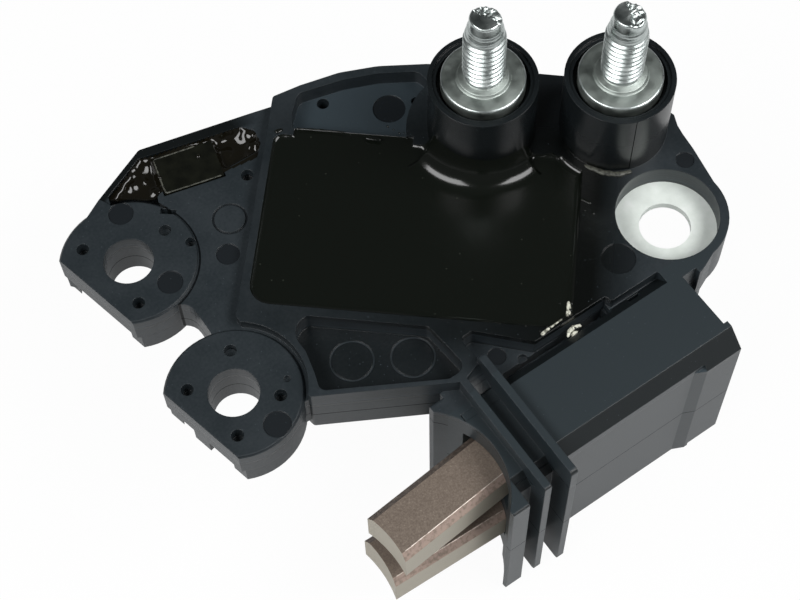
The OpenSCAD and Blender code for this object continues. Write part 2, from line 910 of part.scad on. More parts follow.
module capacitor_resin() {
  color([0.08, 0.075, 0.06])
    difference() {
      intersection() {
        capacitor_pocket();
        translate([-60, 30, cap_pocket_z])
          cube([40, 20, cap_resin_z - cap_pocket_z]);
      }
      filter_cap_solid();
    }
}

// A carbon brush: rear face at the origin, tip towards -X.
module brush_solid(at, yaw) {
  w = brush_w / 2;
  h = brush_h / 2;
  translate(at)
    rotate(yaw)
      difference() {
        translate([-brush_len, 0, 0])
          rotate([90, 0, 90])
            linear_extrude(brush_len)
              polygon([
                [-w, -h], [w, -h], [w, h - brush_chamfer], [w - brush_chamfer, h],
                [-w + brush_chamfer, h], [-w, h - brush_chamfer]
              ]);
        translate([-brush_len - sqrt(slip_ring_r * slip_ring_r - w * w), 0, -over / 2])
          cylinder(r = slip_ring_r, h = over, $fn = 128);
      }
}

module upper_brush() {
  color(carbon)
    difference() {
      brush_solid(upper_at, upper_yaw);
      rod_x(upper_at - [1.5, 0, 0], lead_r, 4);
    }
}

module lower_brush() {
  color(carbon)
    difference() {
      brush_solid(lower_at, lower_yaw);
      rod_x(lower_at - [1.5, 0, 0], lead_r, 4);
    }
}

// Coil spring along +X from x = 0, as a swept ring of points.
module coil(length) {
  sides = 6;
  steps = spring_turns * 11;
  r = spring_r - spring_wire_r;
  run = length - 2 * spring_wire_r;
  pts = [
    for (i = [0:steps], k = [0:sides - 1])
      let(
        t = 360 * spring_turns * i / steps,
        w = 360 * k / sides,
        d = r + spring_wire_r * cos(w)
      )
      [spring_wire_r + run * i / steps + spring_wire_r * sin(w), d * cos(t), d * sin(t)]
  ];
  sides_faces = [
    for (i = [0:steps - 1], k = [0:sides - 1])
      let(a = i * sides + k, b = i * sides + (k + 1) % sides)
      each [[a, b, b + sides], [a, b + sides, a + sides]]
  ];
  first = [for (k = [0:sides - 1]) sides - 1 - k];
  last = [for (k = [0:sides - 1]) steps * sides + k];
  polyhedron(pts, concat([first], sides_faces, [last]));
}

module spring_at(at) {
  translate(at + [0.35, 0, 0])
    coil(web_end_x - at[0] - 0.4);
}

module upper_spring() {
  color([0.72, 0.73, 0.75])
    spring_at(upper_at);
}

module lower_spring() {
  color([0.72, 0.73, 0.75])
    spring_at(lower_at);
}

// Braided lead through the coil, from the brush to its terminal.
module lead_at(at) {
  rod_x(at - [1.5, 0, 0], lead_r, web_end_x - at[0] + 1.45);
}

module upper_brush_lead() {
  color(copper)
    lead_at(upper_at);
}

module lower_brush_lead() {
  color(copper)
    lead_at(lower_at);
}

housing();
brush_box_cap();
potting_resin();
capacitor_resin();
filter_capacitor();
stud_left();
stud_right();
ground_ring();
heat_sink_plate();
circuit_board();
control_chip();
freewheel_diode();
stud_strip_left();
stud_strip_right();
upper_brush_terminal();
lower_brush_terminal();
upper_brush();
lower_brush();
upper_spring();
lower_spring();
upper_brush_lead();
lower_brush_lead();
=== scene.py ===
from math import cos, dist, exp, hypot, pi, radians, sin, sqrt

import bmesh
import bpy
from mathutils import Matrix, Vector, noise


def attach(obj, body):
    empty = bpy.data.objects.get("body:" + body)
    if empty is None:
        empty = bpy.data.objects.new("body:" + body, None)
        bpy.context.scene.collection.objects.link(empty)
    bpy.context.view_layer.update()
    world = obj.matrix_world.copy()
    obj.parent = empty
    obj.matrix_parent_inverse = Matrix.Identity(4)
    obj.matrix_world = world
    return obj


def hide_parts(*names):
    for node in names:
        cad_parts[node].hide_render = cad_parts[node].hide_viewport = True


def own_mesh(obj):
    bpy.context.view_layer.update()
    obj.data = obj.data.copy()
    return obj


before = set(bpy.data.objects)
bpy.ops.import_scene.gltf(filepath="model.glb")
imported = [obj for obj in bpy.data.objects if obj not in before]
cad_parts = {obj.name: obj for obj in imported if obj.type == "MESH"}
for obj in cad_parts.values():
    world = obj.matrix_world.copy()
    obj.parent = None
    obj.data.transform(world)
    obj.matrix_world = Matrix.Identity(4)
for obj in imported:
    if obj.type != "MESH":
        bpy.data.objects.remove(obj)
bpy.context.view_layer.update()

print("stage: frame loaded,", len(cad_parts), "CAD nodes")


# Small helpers; all lengths are given in millimetres

def mm(*values):
    # millimetres to metres
    return values[0] / 1000 if len(values) == 1 else tuple(v / 1000 for v in values)


def srgb(hexText):
    # an sRGB hex colour as linear RGBA
    parts = [int(hexText[i:i + 2], 16) / 255 for i in (1, 3, 5)]
    return tuple(p / 12.92 if p <= 0.04045 else ((p + 0.055) / 1.055) ** 2.4 for p in parts) + (1.0,)


def perMm(size):
    # noise scale, in object space, for a pattern this many millimetres across
    return 1000 / size


def addNode(tree, kind, inputs=None, stops=(), **settings):
    # one shader node; an input takes a value, or a link from a socket or from a node's first output
    node = tree.nodes.new("ShaderNode" + kind)
    for name, value in settings.items():
        setattr(node, name, value)
    for name, value in (inputs or {}).items():
        if isinstance(value, bpy.types.Node):
            value = next(output for output in value.outputs if output.enabled)
        if isinstance(value, bpy.types.NodeSocket):
            tree.links.new(value, node.inputs[name])
        else:
            node.inputs[name].default_value = value
    for index, (at, colour) in enumerate(stops):  # of a colour ramp
        if index > 1:
            node.color_ramp.elements.new(1.0)
        node.color_ramp.elements[index].position = at
        node.color_ramp.elements[index].color = srgb(colour)
    return node


def along(start, end, steps):
    # values from start to end, evenly spaced
    return [start + (end - start) * i / steps for i in range(steps + 1)]


def newMaterial(name):
    # an empty node material, with its tree and the object's own coordinates
    material = bpy.data.materials.new(name)
    material.use_nodes = True
    material.node_tree.nodes.clear()
    return material, material.node_tree, addNode(material.node_tree, "TexCoord").outputs["Object"]


def withSurface(material, inputs):
    # the same material, with its shader and output
    tree = material.node_tree
    addNode(tree, "OutputMaterial", {"Surface": addNode(tree, "BsdfPrincipled", inputs)})
    return material


def joinMasks(tree, how, masks):
    # several masks as one: MULTIPLY where all of them hold, MAXIMUM where any of them does
    whole = masks[0]
    for mask in masks[1:]:
        whole = addNode(tree, "Math", {0: whole, 1: mask}, operation=how)
    return whole


def dress(nodeName, material):
    # gives a carried-over CAD node its finish
    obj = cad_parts[nodeName]
    obj.data.materials.clear()
    obj.data.materials.append(material)


def ringFaces(rings, sides):
    # quads between rings of points that follow each other
    corners = [(i * sides + j, i * sides + (j + 1) % sides) for i in range(rings - 1) for j in range(sides)]
    return [(a, b, b + sides, a + sides) for a, b in corners]


def newObject(name, data):
    # an object in the scene that shows this data
    obj = bpy.data.objects.new(name, data)
    bpy.context.scene.collection.objects.link(obj)
    return obj


def addPiece(name, verts, faces, material, body="regulator", smooth=True):
    # a mesh piece from points in millimetres
    mesh = bpy.data.meshes.new(name)
    mesh.from_pydata([mm(*v) for v in verts], [], faces)
    mesh.validate()
    mesh.update()
    obj = newObject(name, mesh)
    mesh.materials.append(material)
    for polygon in mesh.polygons:
        polygon.use_smooth = smooth
    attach(obj, body)
    return obj


# Camera, at the photograph's viewing angle

camera = {
    "azimuth": -32.84,   # degrees about Z
    "elevation": 62.29,  # degrees above the horizon
    "roll": 2.168,
    "lookAt": (-31.63, 9.09, 2.8),
    "distance": 202.84,
    "lens": 79.85,       # on a 36 mm wide sensor
}


def addCamera(c):
    a, e, r = (radians(c[k]) for k in ("azimuth", "elevation", "roll"))
    forward = Vector((-sin(a) * cos(e), cos(a) * cos(e), -sin(e)))
    right = Vector((cos(a), sin(a), 0))
    down = forward.cross(right)
    imageX = right * cos(r) + down * sin(r)
    imageDown = down * cos(r) - right * sin(r)
    at = Vector(mm(*c["lookAt"])) - forward * mm(c["distance"])
    data = bpy.data.cameras.new("studioCamera")
    data.sensor_width = 36
    data.lens = c["lens"]
    data.clip_start = 0.01
    data.clip_end = 20
    obj = newObject("studioCamera", data)
    turn = Matrix((imageX, -imageDown, -forward)).transposed().to_4x4()
    obj.matrix_world = Matrix.Translation(at) @ turn
    bpy.context.scene.camera = obj
    return right


cameraRight = addCamera(camera)
print("stage: camera placed")


# Light, surroundings and floor

studio = {
    "centre": (-26, 12, 0),  # what the lamps point at
    "floorZ": -22.9,
    "floorReach": 2500,
    "floorColour": "#F4F4F4",
    "floorGlow": 0.96,       # share of the floor that shows as plain white
    "glossGlow": 0.35,       # the same, as glossy faces mirror it
    "overhead": "#3C3E3E",   # what a level glossy face mirrors
    "skyline": "#58595A",
    "skyStrength": 1.0,
    # name, side (along the picture), front (towards the viewer), height, width, depth, watts
    "lamps": [
        ("leftSoftbox", -215, 150, 300, 330, 165, 1.08),
        ("rightSoftbox", 250, 70, 300, 330, 165, 1.12),
    ],
}


def addLamps(s, right):
    back = Vector((right.y, -right.x, 0))
    centre = Vector(mm(*s["centre"]))
    for name, side, front, height, width, depth, watts in s["lamps"]:
        data = bpy.data.lights.new(name, "AREA")
        data.shape = "RECTANGLE"
        data.size = mm(width)
        data.size_y = mm(depth)
        data.energy = watts
        lamp = newObject(name, data)
        lamp.location = centre + right * mm(side) + back * mm(front) + Vector((0, 0, mm(height)))
        lamp.rotation_euler = (centre - lamp.location).to_track_quat("-Z", "Y").to_euler()


def addSurroundings(s):
    world = bpy.data.worlds.new("studioSurroundings")
    bpy.context.scene.world = world
    world.use_nodes = True
    tree = world.node_tree
    tree.nodes.clear()
    direction = addNode(tree, "TexCoord").outputs["Generated"]
    height = addNode(tree, "SeparateXYZ", {"Vector": direction}).outputs["Z"]
    shade = addNode(tree, "ValToRGB", {"Fac": height},
                    stops=[(0.0, s["skyline"]), (0.25, s["skyline"]), (0.72, s["overhead"])])
    glow = addNode(tree, "Background", {"Strength": s["skyStrength"], "Color": shade})
    addNode(tree, "OutputWorld", {"Surface": glow})


def whiteCard(s):
    # matt white card; the camera and glossy faces see it near white, and it keeps the shadow
    card, tree, place = newMaterial("whiteCard")
    matt = addNode(tree, "BsdfPrincipled", {"Base Color": srgb(s["floorColour"]), "Roughness": 0.9})
    plain = addNode(tree, "Emission", {"Color": (1, 1, 1, 1), "Strength": 1.0})
    rays = addNode(tree, "LightPath")
    glows = [joinMasks(tree, "MULTIPLY", [rays.outputs[ray], glow]) for ray, glow in (
        ("Is Camera Ray", s["floorGlow"]), ("Is Glossy Ray", s["glossGlow"]),
        ("Is Transmission Ray", s["floorGlow"]))]
    both = addNode(tree, "MixShader", {0: joinMasks(tree, "MAXIMUM", glows), 1: matt, 2: plain})
    addNode(tree, "OutputMaterial", {"Surface": both})
    return card


def addFloor(s):
    mesh = bpy.data.meshes.new("floor")
    reach, z = mm(s["floorReach"]), mm(s["floorZ"])
    mesh.from_pydata([(-reach, -reach, z), (reach, -reach, z), (reach, reach, z), (-reach, reach, z)],
                     [], [(0, 1, 2, 3)])
    mesh.materials.append(whiteCard(s))
    newObject("floor", mesh)


bpy.context.scene.view_settings.view_transform = "Standard"
addLamps(studio, cameraRight)
addSurroundings(studio)
addFloor(studio)
print("stage: studio lit")


# Places on the moulding that several pieces share

bay = {
    "angle": -40.7,            # degrees, the bay's turn about Z
    "middle": (-28.7, -4.65),  # mm, along and across the bay
    "half": (18.5, 11.5),      # mm, half of its length and width
    "level": 3.3,              # mm, top of the resin
    "deck": 3.7,               # mm, top of the moulding round it
}
turrets = {"left": (-10.68, 22.21), "right": (2.41, 13.44), "radius": 6.46}


# Moulding

moulding = {
    "colour": "#22292D",
    "paleFleck": "#2E3438",
    "toneStops": (0.38, 0.62),  # where the grain turns from the one to the other
    "fleck": 0.35,              # mm, glass-fibre grain that shows at the surface
    "cloud": 5.0,               # mm, slow change of tone from the flow of the melt
    "cloudShare": 0.55,         # the rest of the pattern is grain
    "grainDepth": 0.012,        # mm
    "roughness": 0.4,
    "shine": 0.45,              # specular level; the dark lines have none
    "edgeRadius": 0.15,         # mm, mould edges are never quite sharp
    "lowBelow": 2.6,            # mm, Z below which lie the field and the pockets
    "boxEdge": -5.35,           # mm, Y below which the moulding is the brush box
    "boxColour": "#2B3337",     # the brush box is a little paler than the block
    "chamfer": "#171C1E",       # its sloped edges, painted darker as shade
    "chamferSlope": (0.66, 0.28),  # how far their normals point up, give or take
    "markColour": "#161B1F",
    # ejector marks lie a hair below the face round them; levels of their floors in mm
    "markLevels": [2.68, 2.28, 1.38, 0.68, 3.58],
    "markBand": 0.03,           # mm, give or take
    "litPocketFloor": "#343E44",         # floor of the pocket behind the turrets, painted paler to lift its shade
    "litPocketLevel": 1.5,          # mm
    "floorBand": 0.06,          # mm, give or take, for the floor of a pocket
    "glassFibre": "#58636A",    # ends of glass fibre that lie at the surface
    "fibreSpacing": 0.5,        # mm, drawn coarser than real fibre so that it shows
    "fibreEnd": (0.16, 0.06),   # radius where an end starts to show, and where it is full
    "fibreClear": 0.4,          # how clearly it shows
    "fibreHidden": 0.78,        # share of the ends that lie too deep to show
}


def mouldingPlaces(tree, m, place):
    # what the masks ask of each point: where it is, how it faces and what it is on
    spot = addNode(tree, "SeparateXYZ", {"Vector": place})
    normal = addNode(tree, "SeparateXYZ", {"Vector": addNode(tree, "TexCoord").outputs["Normal"]})
    inBox = addNode(tree, "Math", {0: spot.outputs["Y"], 1: mm(m["boxEdge"])}, operation="LESS_THAN")
    return {
        "place": place,
        "plan": addNode(tree, "VectorMath", {0: place, 1: (1, 1, 0)}, operation="MULTIPLY"),
        "x": spot.outputs["X"],
        "y": spot.outputs["Y"],
        "z": spot.outputs["Z"],
        "upward": normal.outputs["Z"],
        "inBox": inBox,
        "outsideBox": addNode(tree, "Math", {0: 1.0, 1: inBox}, operation="SUBTRACT"),
        "low": addNode(tree, "Math", {0: spot.outputs["Z"], 1: mm(m["lowBelow"])}, operation="LESS_THAN"),
    }


def levelMask(tree, here, level, band):
    # where the surface lies at this level in mm, give or take
    return addNode(tree, "Math", {0: here["z"], 1: mm(level), 2: mm(band)}, operation="COMPARE")


smearAndShade = {
    "colour": "#090B0A",       # resin wiped over the moulding round the bay, and painted shade on the deck in front of the turrets, up their walls and in the low pocket
    "roughness": 0.2,
    "reach": 8.0,              # mm, how far the smear and painted shade reach over the deck
    "solid": 0.25,             # share of that reach where it covers all
    "leftEnd": 0.3,            # how strong it still is at the bay's left end
    "deckBand": (3.6, 0.7),    # mm, level of the deck, give or take
    # each turret, and how much of the darker, glossier tone shows at its foot and at its top; its darkness
    # is painted shade
    "turrets": [("left", 1.0, 0.65), ("right", 0.8, 0.6)],
    "turretReach": 7.2,        # mm, from a turret's middle
    "turretFoot": 0.05,        # mm, how far above the deck a turret starts
    "turretFade": (5.0, 9.5),  # mm, the levels of foot and top
    "pocketLevel": 1.0,        # mm, floor of the pocket beside the inner ear, darkened as painted shade
    "pocketShare": 0.65,
    # outward normal and distance in mm of the capacitor pocket's two outer walls
    "walls": [((0.252, 0.968), 30.08), ((-0.399, 0.917), 57.96)],
    "wallFade": (-0.3, 0.1),   # mm, from clean to smeared, beyond a wall
    "leftward": (-31.5, -34.5),  # mm, X from clean to smeared
    "wallShare": 0.85,
}


def smearAndShadeMask(tree, s, here):
    # how much of the wiped resin and painted shade shows: on the deck, up the turrets and in two pockets
    turned = addNode(tree, "VectorRotate", {"Vector": here["place"], "Angle": radians(-bay["angle"])},
                     rotation_type="Z_AXIS")
    inBay = addNode(tree, "SeparateXYZ", {"Vector": turned})
    gap = 0.0
    for axis in (0, 1):  # how far a point lies outside the bay, along it and across it
        away = addNode(tree, "Math", {0: inBay.outputs[axis], 1: mm(bay["middle"][axis])},
                       operation="SUBTRACT")
        away = addNode(tree, "Math", {0: away}, operation="ABSOLUTE")
        away = addNode(tree, "Math", {0: away, 1: mm(bay["half"][axis])}, operation="SUBTRACT")
        away = addNode(tree, "Math", {0: away, 1: 0.0}, operation="MAXIMUM")
        gap = addNode(tree, "Math", {0: gap, 1: away}, operation="ADD")
    near = addNode(tree, "MapRange", {
        "Value": gap, "From Min": mm(s["reach"] * s["solid"]), "From Max": mm(s["reach"]),
        "To Min": 1.0, "To Max": 0.0})
    middle, half = mm(bay["middle"][0], bay["half"][0])
    rightward = addNode(tree, "MapRange", {
        "Value": inBay.outputs[0], "From Min": middle - half, "From Max": middle + half,
        "To Min": s["leftEnd"]})
    onDeck = levelMask(tree, here, *s["deckBand"])
    masks = [joinMasks(tree, "MULTIPLY", [near, rightward, onDeck, here["outsideBox"]])]

    above = addNode(tree, "Math", {0: here["z"], 1: mm(bay["deck"] + s["turretFoot"])},
                    operation="GREATER_THAN")
    foot, top = mm(*s["turretFade"])
    for which, footShare, topShare in s["turrets"]:
        around = addNode(tree, "VectorMath", {0: here["plan"], 1: mm(*turrets[which], 0)},
                         operation="DISTANCE")
        around = addNode(tree, "Math", {0: around, 1: mm(s["turretReach"])}, operation="LESS_THAN")
        fade = addNode(tree, "MapRange", {
            "Value": here["z"], "From Min": foot, "From Max": top, "To Min": footShare, "To Max": topShare})
        masks.append(joinMasks(tree, "MULTIPLY", [around, above, fade]))

    floor = levelMask(tree, here, s["pocketLevel"], moulding["floorBand"])
    masks.append(joinMasks(tree, "MULTIPLY", [floor, s["pocketShare"]]))

    beyond = []
    for normal, offset in s["walls"]:
        out = addNode(tree, "VectorMath", {0: here["place"], 1: (*normal, 0)}, operation="DOT_PRODUCT")
        clean, smeared = (mm(offset + step) for step in s["wallFade"])
        beyond.append(addNode(tree, "MapRange", {"Value": out, "From Min": clean, "From Max": smeared}))
    clean, smeared = mm(*s["leftward"])
    leftward = addNode(tree, "MapRange", {"Value": here["x"], "From Min": clean, "From Max": smeared})
    masks.append(joinMasks(tree, "MULTIPLY", [
        joinMasks(tree, "MAXIMUM", beyond), leftward, here["low"], s["wallShare"]]))
    return joinMasks(tree, "MAXIMUM", masks)


darkLines = {
    "colour": "#040505",
    "half": 0.05,        # mm, half of a parting line's width
    "upright": 0.3,      # they show where a face's normal points up by less than this
    "plateZ": -1.2,      # mm, where the mould halves met on the block's walls
    "boxZ": -9.4,        # mm, the same on the long side of the brush box
    "seamAngle": -111,   # degrees about Z, where a seam runs up the right turret
    "seamInFront": 5.0,  # mm, how far in front of the turret's middle it starts
    "seamFoot": 0.1,     # mm, how far above the deck it starts
    "earAt": (-54.43, 31.47),
    "earRadius": 8.26,   # mm, the shadow at the foot of the outer ear's disc
    "earHalf": 0.11,     # mm, half of its width
    "earShare": 0.8,     # how dark it is
}


def lineMask(tree, d, here):
    # dark hairlines: parting lines, the right turret's seam and the foot of the outer ear
    plate = levelMask(tree, here, d["plateZ"], d["half"])
    side = levelMask(tree, here, d["boxZ"], d["half"])

    # the seam lies in a thin upright slice through the turret's middle, on its front side only
    angle = radians(d["seamAngle"])
    x, y = turrets["right"]
    across = addNode(tree, "VectorMath", {0: here["place"], 1: (-sin(angle), cos(angle), 0)},
                     operation="DOT_PRODUCT")
    middle = -sin(angle) * x + cos(angle) * y
    seam = addNode(tree, "Math", {0: across, 1: mm(middle), 2: mm(d["half"])}, operation="COMPARE")
    front = addNode(tree, "Math", {0: here["y"], 1: mm(y - d["seamInFront"])}, operation="LESS_THAN")
    above = addNode(tree, "Math", {0: here["z"], 1: mm(bay["deck"] + d["seamFoot"])},
                    operation="GREATER_THAN")
    steep = addNode(tree, "Math", {0: here["upward"], 1: 0.0, 2: d["upright"]}, operation="COMPARE")

    foot = addNode(tree, "VectorMath", {0: here["plan"], 1: mm(*d["earAt"], 0)}, operation="DISTANCE")
    foot = addNode(tree, "Math", {0: foot, 1: mm(d["earRadius"]), 2: mm(d["earHalf"])}, operation="COMPARE")
    return joinMasks(tree, "MAXIMUM", [
        joinMasks(tree, "MULTIPLY", [plate, here["outsideBox"], steep]),
        joinMasks(tree, "MULTIPLY", [side, here["inBox"], steep]),
        joinMasks(tree, "MULTIPLY", [seam, front, above, steep]),
        joinMasks(tree, "MULTIPLY", [foot, here["low"], d["earShare"]]),
    ])


def fibreMask(tree, m, place):
    # a few of the cells of a pattern carry the end of a glass fibre in their middle
    cells = addNode(tree, "TexVoronoi", {"Vector": place, "Scale": perMm(m["fibreSpacing"])})
    starts, full = m["fibreEnd"]
    end = addNode(tree, "MapRange", {
        "Value": cells, "From Min": starts, "From Max": full, "To Max": m["fibreClear"]})
    draw = addNode(tree, "SeparateColor", {"Color": cells.outputs["Color"]})
    chosen = addNode(tree, "Math", {0: draw, 1: m["fibreHidden"]}, operation="GREATER_THAN")
    return joinMasks(tree, "MULTIPLY", [end, chosen])


def glassFilledPbt(m):
    # glass-filled PBT, injection moulded: dark blue-grey, satin, with a fine fibre grain
    material, tree, place = newMaterial("glassFilledPbt")
    grain = addNode(tree, "TexNoise", {
        "Vector": place, "Scale": perMm(m["fleck"]), "Detail": 3.0, "Roughness": 0.6})
    cloud = addNode(tree, "TexNoise", {"Vector": place, "Scale": perMm(m["cloud"]), "Detail": 2.0})
    both = addNode(tree, "Math", {0: grain, 1: 1 - m["cloudShare"]}, operation="MULTIPLY")
    both = addNode(tree, "Math", {0: cloud, 1: m["cloudShare"], 2: both}, operation="MULTIPLY_ADD")
    tone = addNode(tree, "ValToRGB", {"Fac": both},
                   stops=list(zip(m["toneStops"], (m["colour"], m["paleFleck"]))))

    here = mouldingPlaces(tree, m, place)
    marks = [levelMask(tree, here, level, m["markBand"]) for level in m["markLevels"]]
    slope, band = m["chamferSlope"]
    sloped = addNode(tree, "Math", {0: here["upward"], 1: slope, 2: band}, operation="COMPARE")
    smearedAndShaded = smearAndShadeMask(tree, smearAndShade, here)
    lines = lineMask(tree, darkLines, here)
    # in this list the pocket floor's paler tone is painted light, the box chamfers' darker tone is painted
    # shade, and the wiped tone is resin smear together with painted shade
    for mask, colour in (
        (here["inBox"], m["boxColour"]),
        (joinMasks(tree, "MAXIMUM", marks), m["markColour"]),
        (levelMask(tree, here, m["litPocketLevel"], m["floorBand"]), m["litPocketFloor"]),
        (smearedAndShaded, smearAndShade["colour"]),
        (joinMasks(tree, "MULTIPLY", [sloped, here["inBox"]]), m["chamfer"]),
        (fibreMask(tree, m, place), m["glassFibre"]),
        (lines, darkLines["colour"]),
    ):
        tone = addNode(tree, "Mix", {0: mask, 6: tone, 7: srgb(colour)}, data_type="RGBA")

    soft = addNode(tree, "Bevel", {"Radius": mm(m["edgeRadius"])}, samples=4)
    return withSurface(material, {
        "Base Color": tone,
        "IOR": 1.52,
        "Specular IOR Level": addNode(tree, "MapRange", {
            "Value": lines, "To Min": m["shine"], "To Max": 0.0}),
        "Roughness": addNode(tree, "MapRange", {
            "Value": smearedAndShaded, "To Min": m["roughness"], "To Max": smearAndShade["roughness"]}),
        "Normal": addNode(tree, "Bump", {
            "Height": grain, "Distance": mm(m["grainDepth"]), "Strength": 0.8, "Normal": soft}),
    })


pbt = glassFilledPbt(moulding)
dress("housing", pbt)
dress("brush_box_cap", pbt)
print("stage: moulding dressed")


# Potting resin in the bay

potting = {
    "colour": "#0F120E",
    "speck": "#2A2D27",   # dust caught in the surface
    "speckSpacing": 1.6,  # mm
    "roughness": 0.2,
    "rimRoughness": 0.16,
    "ripple": 7.0,        # mm, slow waves left as the resin levelled
    "climb": 4.2,         # mm, how far it climbs the turret
    "spread": 4.6,        # mm, width of that climb
    "curve": 3.4,         # how fast the climb flattens out
    "wallShare": 0.09,    # how high it climbs the bay's walls, as a share of that
    "filmFrom": 7.0,      # mm across the bay, where only a film covers a low wall
    "step": 0.25,         # mm between points along the rim
    "rows": 15,
    "softening": 6,       # rounds of evening out where a tall rim meets a low one
}


def castEpoxy(name, look, roughness):
    # cast epoxy potting: near black, wet-looking, with slow waves and a few dust specks
    material, tree, place = newMaterial(name)
    wave = addNode(tree, "TexNoise", {"Vector": place, "Scale": perMm(look["ripple"]), "Detail": 1.0})
    dust = addNode(tree, "TexVoronoi", {"Vector": place, "Scale": perMm(potting["speckSpacing"])})
    speck = addNode(tree, "Math", {0: dust, 1: 0.06}, operation="LESS_THAN")
    return withSurface(material, {
        "Base Color": addNode(tree, "Mix", {0: speck, 6: srgb(look["colour"]), 7: srgb(potting["speck"])},
                              data_type="RGBA"),
        "Roughness": roughness,
        "IOR": 1.54,
        "Normal": addNode(tree, "Bump", {"Height": wave, "Distance": mm(0.05), "Strength": 0.6}),
    })


def topLoops(obj, level):
    # rims of an object's level top face, as lists of (x, y) in millimetres, face on the left
    mesh = bmesh.new()
    mesh.from_mesh(obj.data)
    bmesh.ops.remove_doubles(mesh, verts=mesh.verts, dist=1e-6)
    top = {f for f in mesh.faces if f.normal.z > 0.99 and abs(f.calc_center_median().z - mm(level)) < 1e-5}
    after = {}
    for face in top:
        for loop in face.loops:
            if sum(1 for other in loop.edge.link_faces if other in top) == 1:
                after.setdefault(loop.vert.index, []).append(loop.link_loop_next.vert.index)
    spots = {v.index: (v.co.x * 1000, v.co.y * 1000) for v in mesh.verts}
    mesh.free()
    loops = []
    while after:
        loop, here = [], min(after)
        while here in after:
            loop.append(spots[here])
            following = after[here].pop()
            if not after[here]:
                del after[here]
            here = following
        loops.append(loop)
    return loops


def spaced(path, step, fewest):
    # the same path, as points about this far apart
    spots = []
    for start, end in zip(path, path[1:]):
        count = max(fewest, round(dist(start[:3], end[:3]) / step))
        spots += [tuple(a + (b - a) * k / count for a, b in zip(start, end)) for k in range(count)]
    return spots + [path[-1]]


def rimShare(x, y, p):
    # how much of the full climb the rim has here: all on the turret, none where only a film lies
    turn = radians(bay["angle"])
    across = Vector((x, y)).dot(Vector((-sin(turn), cos(turn))))
    if across > p["filmFrom"]:
        return 0.0
    fromTurret = hypot(x - turrets["left"][0], y - turrets["left"][1])
    return 1.0 if abs(fromTurret - turrets["radius"]) < 0.12 else p["wallShare"]


def resinRim(name, loop, p, material):
    # resin creeps up every wall it touches: a concave fillet, tall on the turret and low elsewhere
    points = spaced(loop + loop[:1], p["step"], 1)[:-1]
    n, rows = len(points), p["rows"]
    tall = [rimShare(x, y, p) for x, y in points]
    for _ in range(p["softening"]):
        tall = [(tall[i - 1] + 2 * tall[i] + tall[(i + 1) % n]) / 4 for i in range(n)]
    verts, faces = [], []
    for i, (x, y) in enumerate(points):
        ax, ay = points[(i - 3) % n]
        bx, by = points[(i + 3) % n]
        along = Vector((bx - ax, by - ay)).normalized()
        uneven = 0.85 + 0.2 * noise.noise(Vector((x * 0.15, y * 0.15, 5.0)))
        climb = p["climb"] * max(0.02, tall[i]) * uneven
        spread = p["spread"] * max(0.08, tall[i] ** 0.6) * uneven
        for k in range(rows):
            t = k / (rows - 1)
            inward = spread * t - 0.02
            verts.append((x - along.y * inward, y + along.x * inward,
                          bay["level"] + 0.012 * (1 - t) + climb * (1 - t) ** p["curve"] - 0.004 * t))
    for i in range(n):
        for k in range(rows - 1):
            a, b = i * rows + k, ((i + 1) % n) * rows + k
            faces.append((a, b, b + 1, a + 1))
    return addPiece(name, verts, faces, material)


blackEpoxy = castEpoxy("blackCastEpoxy", potting, potting["roughness"])
wetEpoxy = castEpoxy("blackCastEpoxyEdge", potting, potting["rimRoughness"])
dress("potting_resin", blackEpoxy)
for number, loop in enumerate(topLoops(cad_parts["potting_resin"], bay["level"])):
    resinRim("resin_rim_" + str(number + 1), loop, potting, wetEpoxy)


# Resin that was spilt round the bay

bead = {
    "sides": 8,
    "step": 0.12,    # mm between rings
    "flat": 0.55,    # height as a share of the width
    "uneven": 0.45,  # how much the width wanders
}

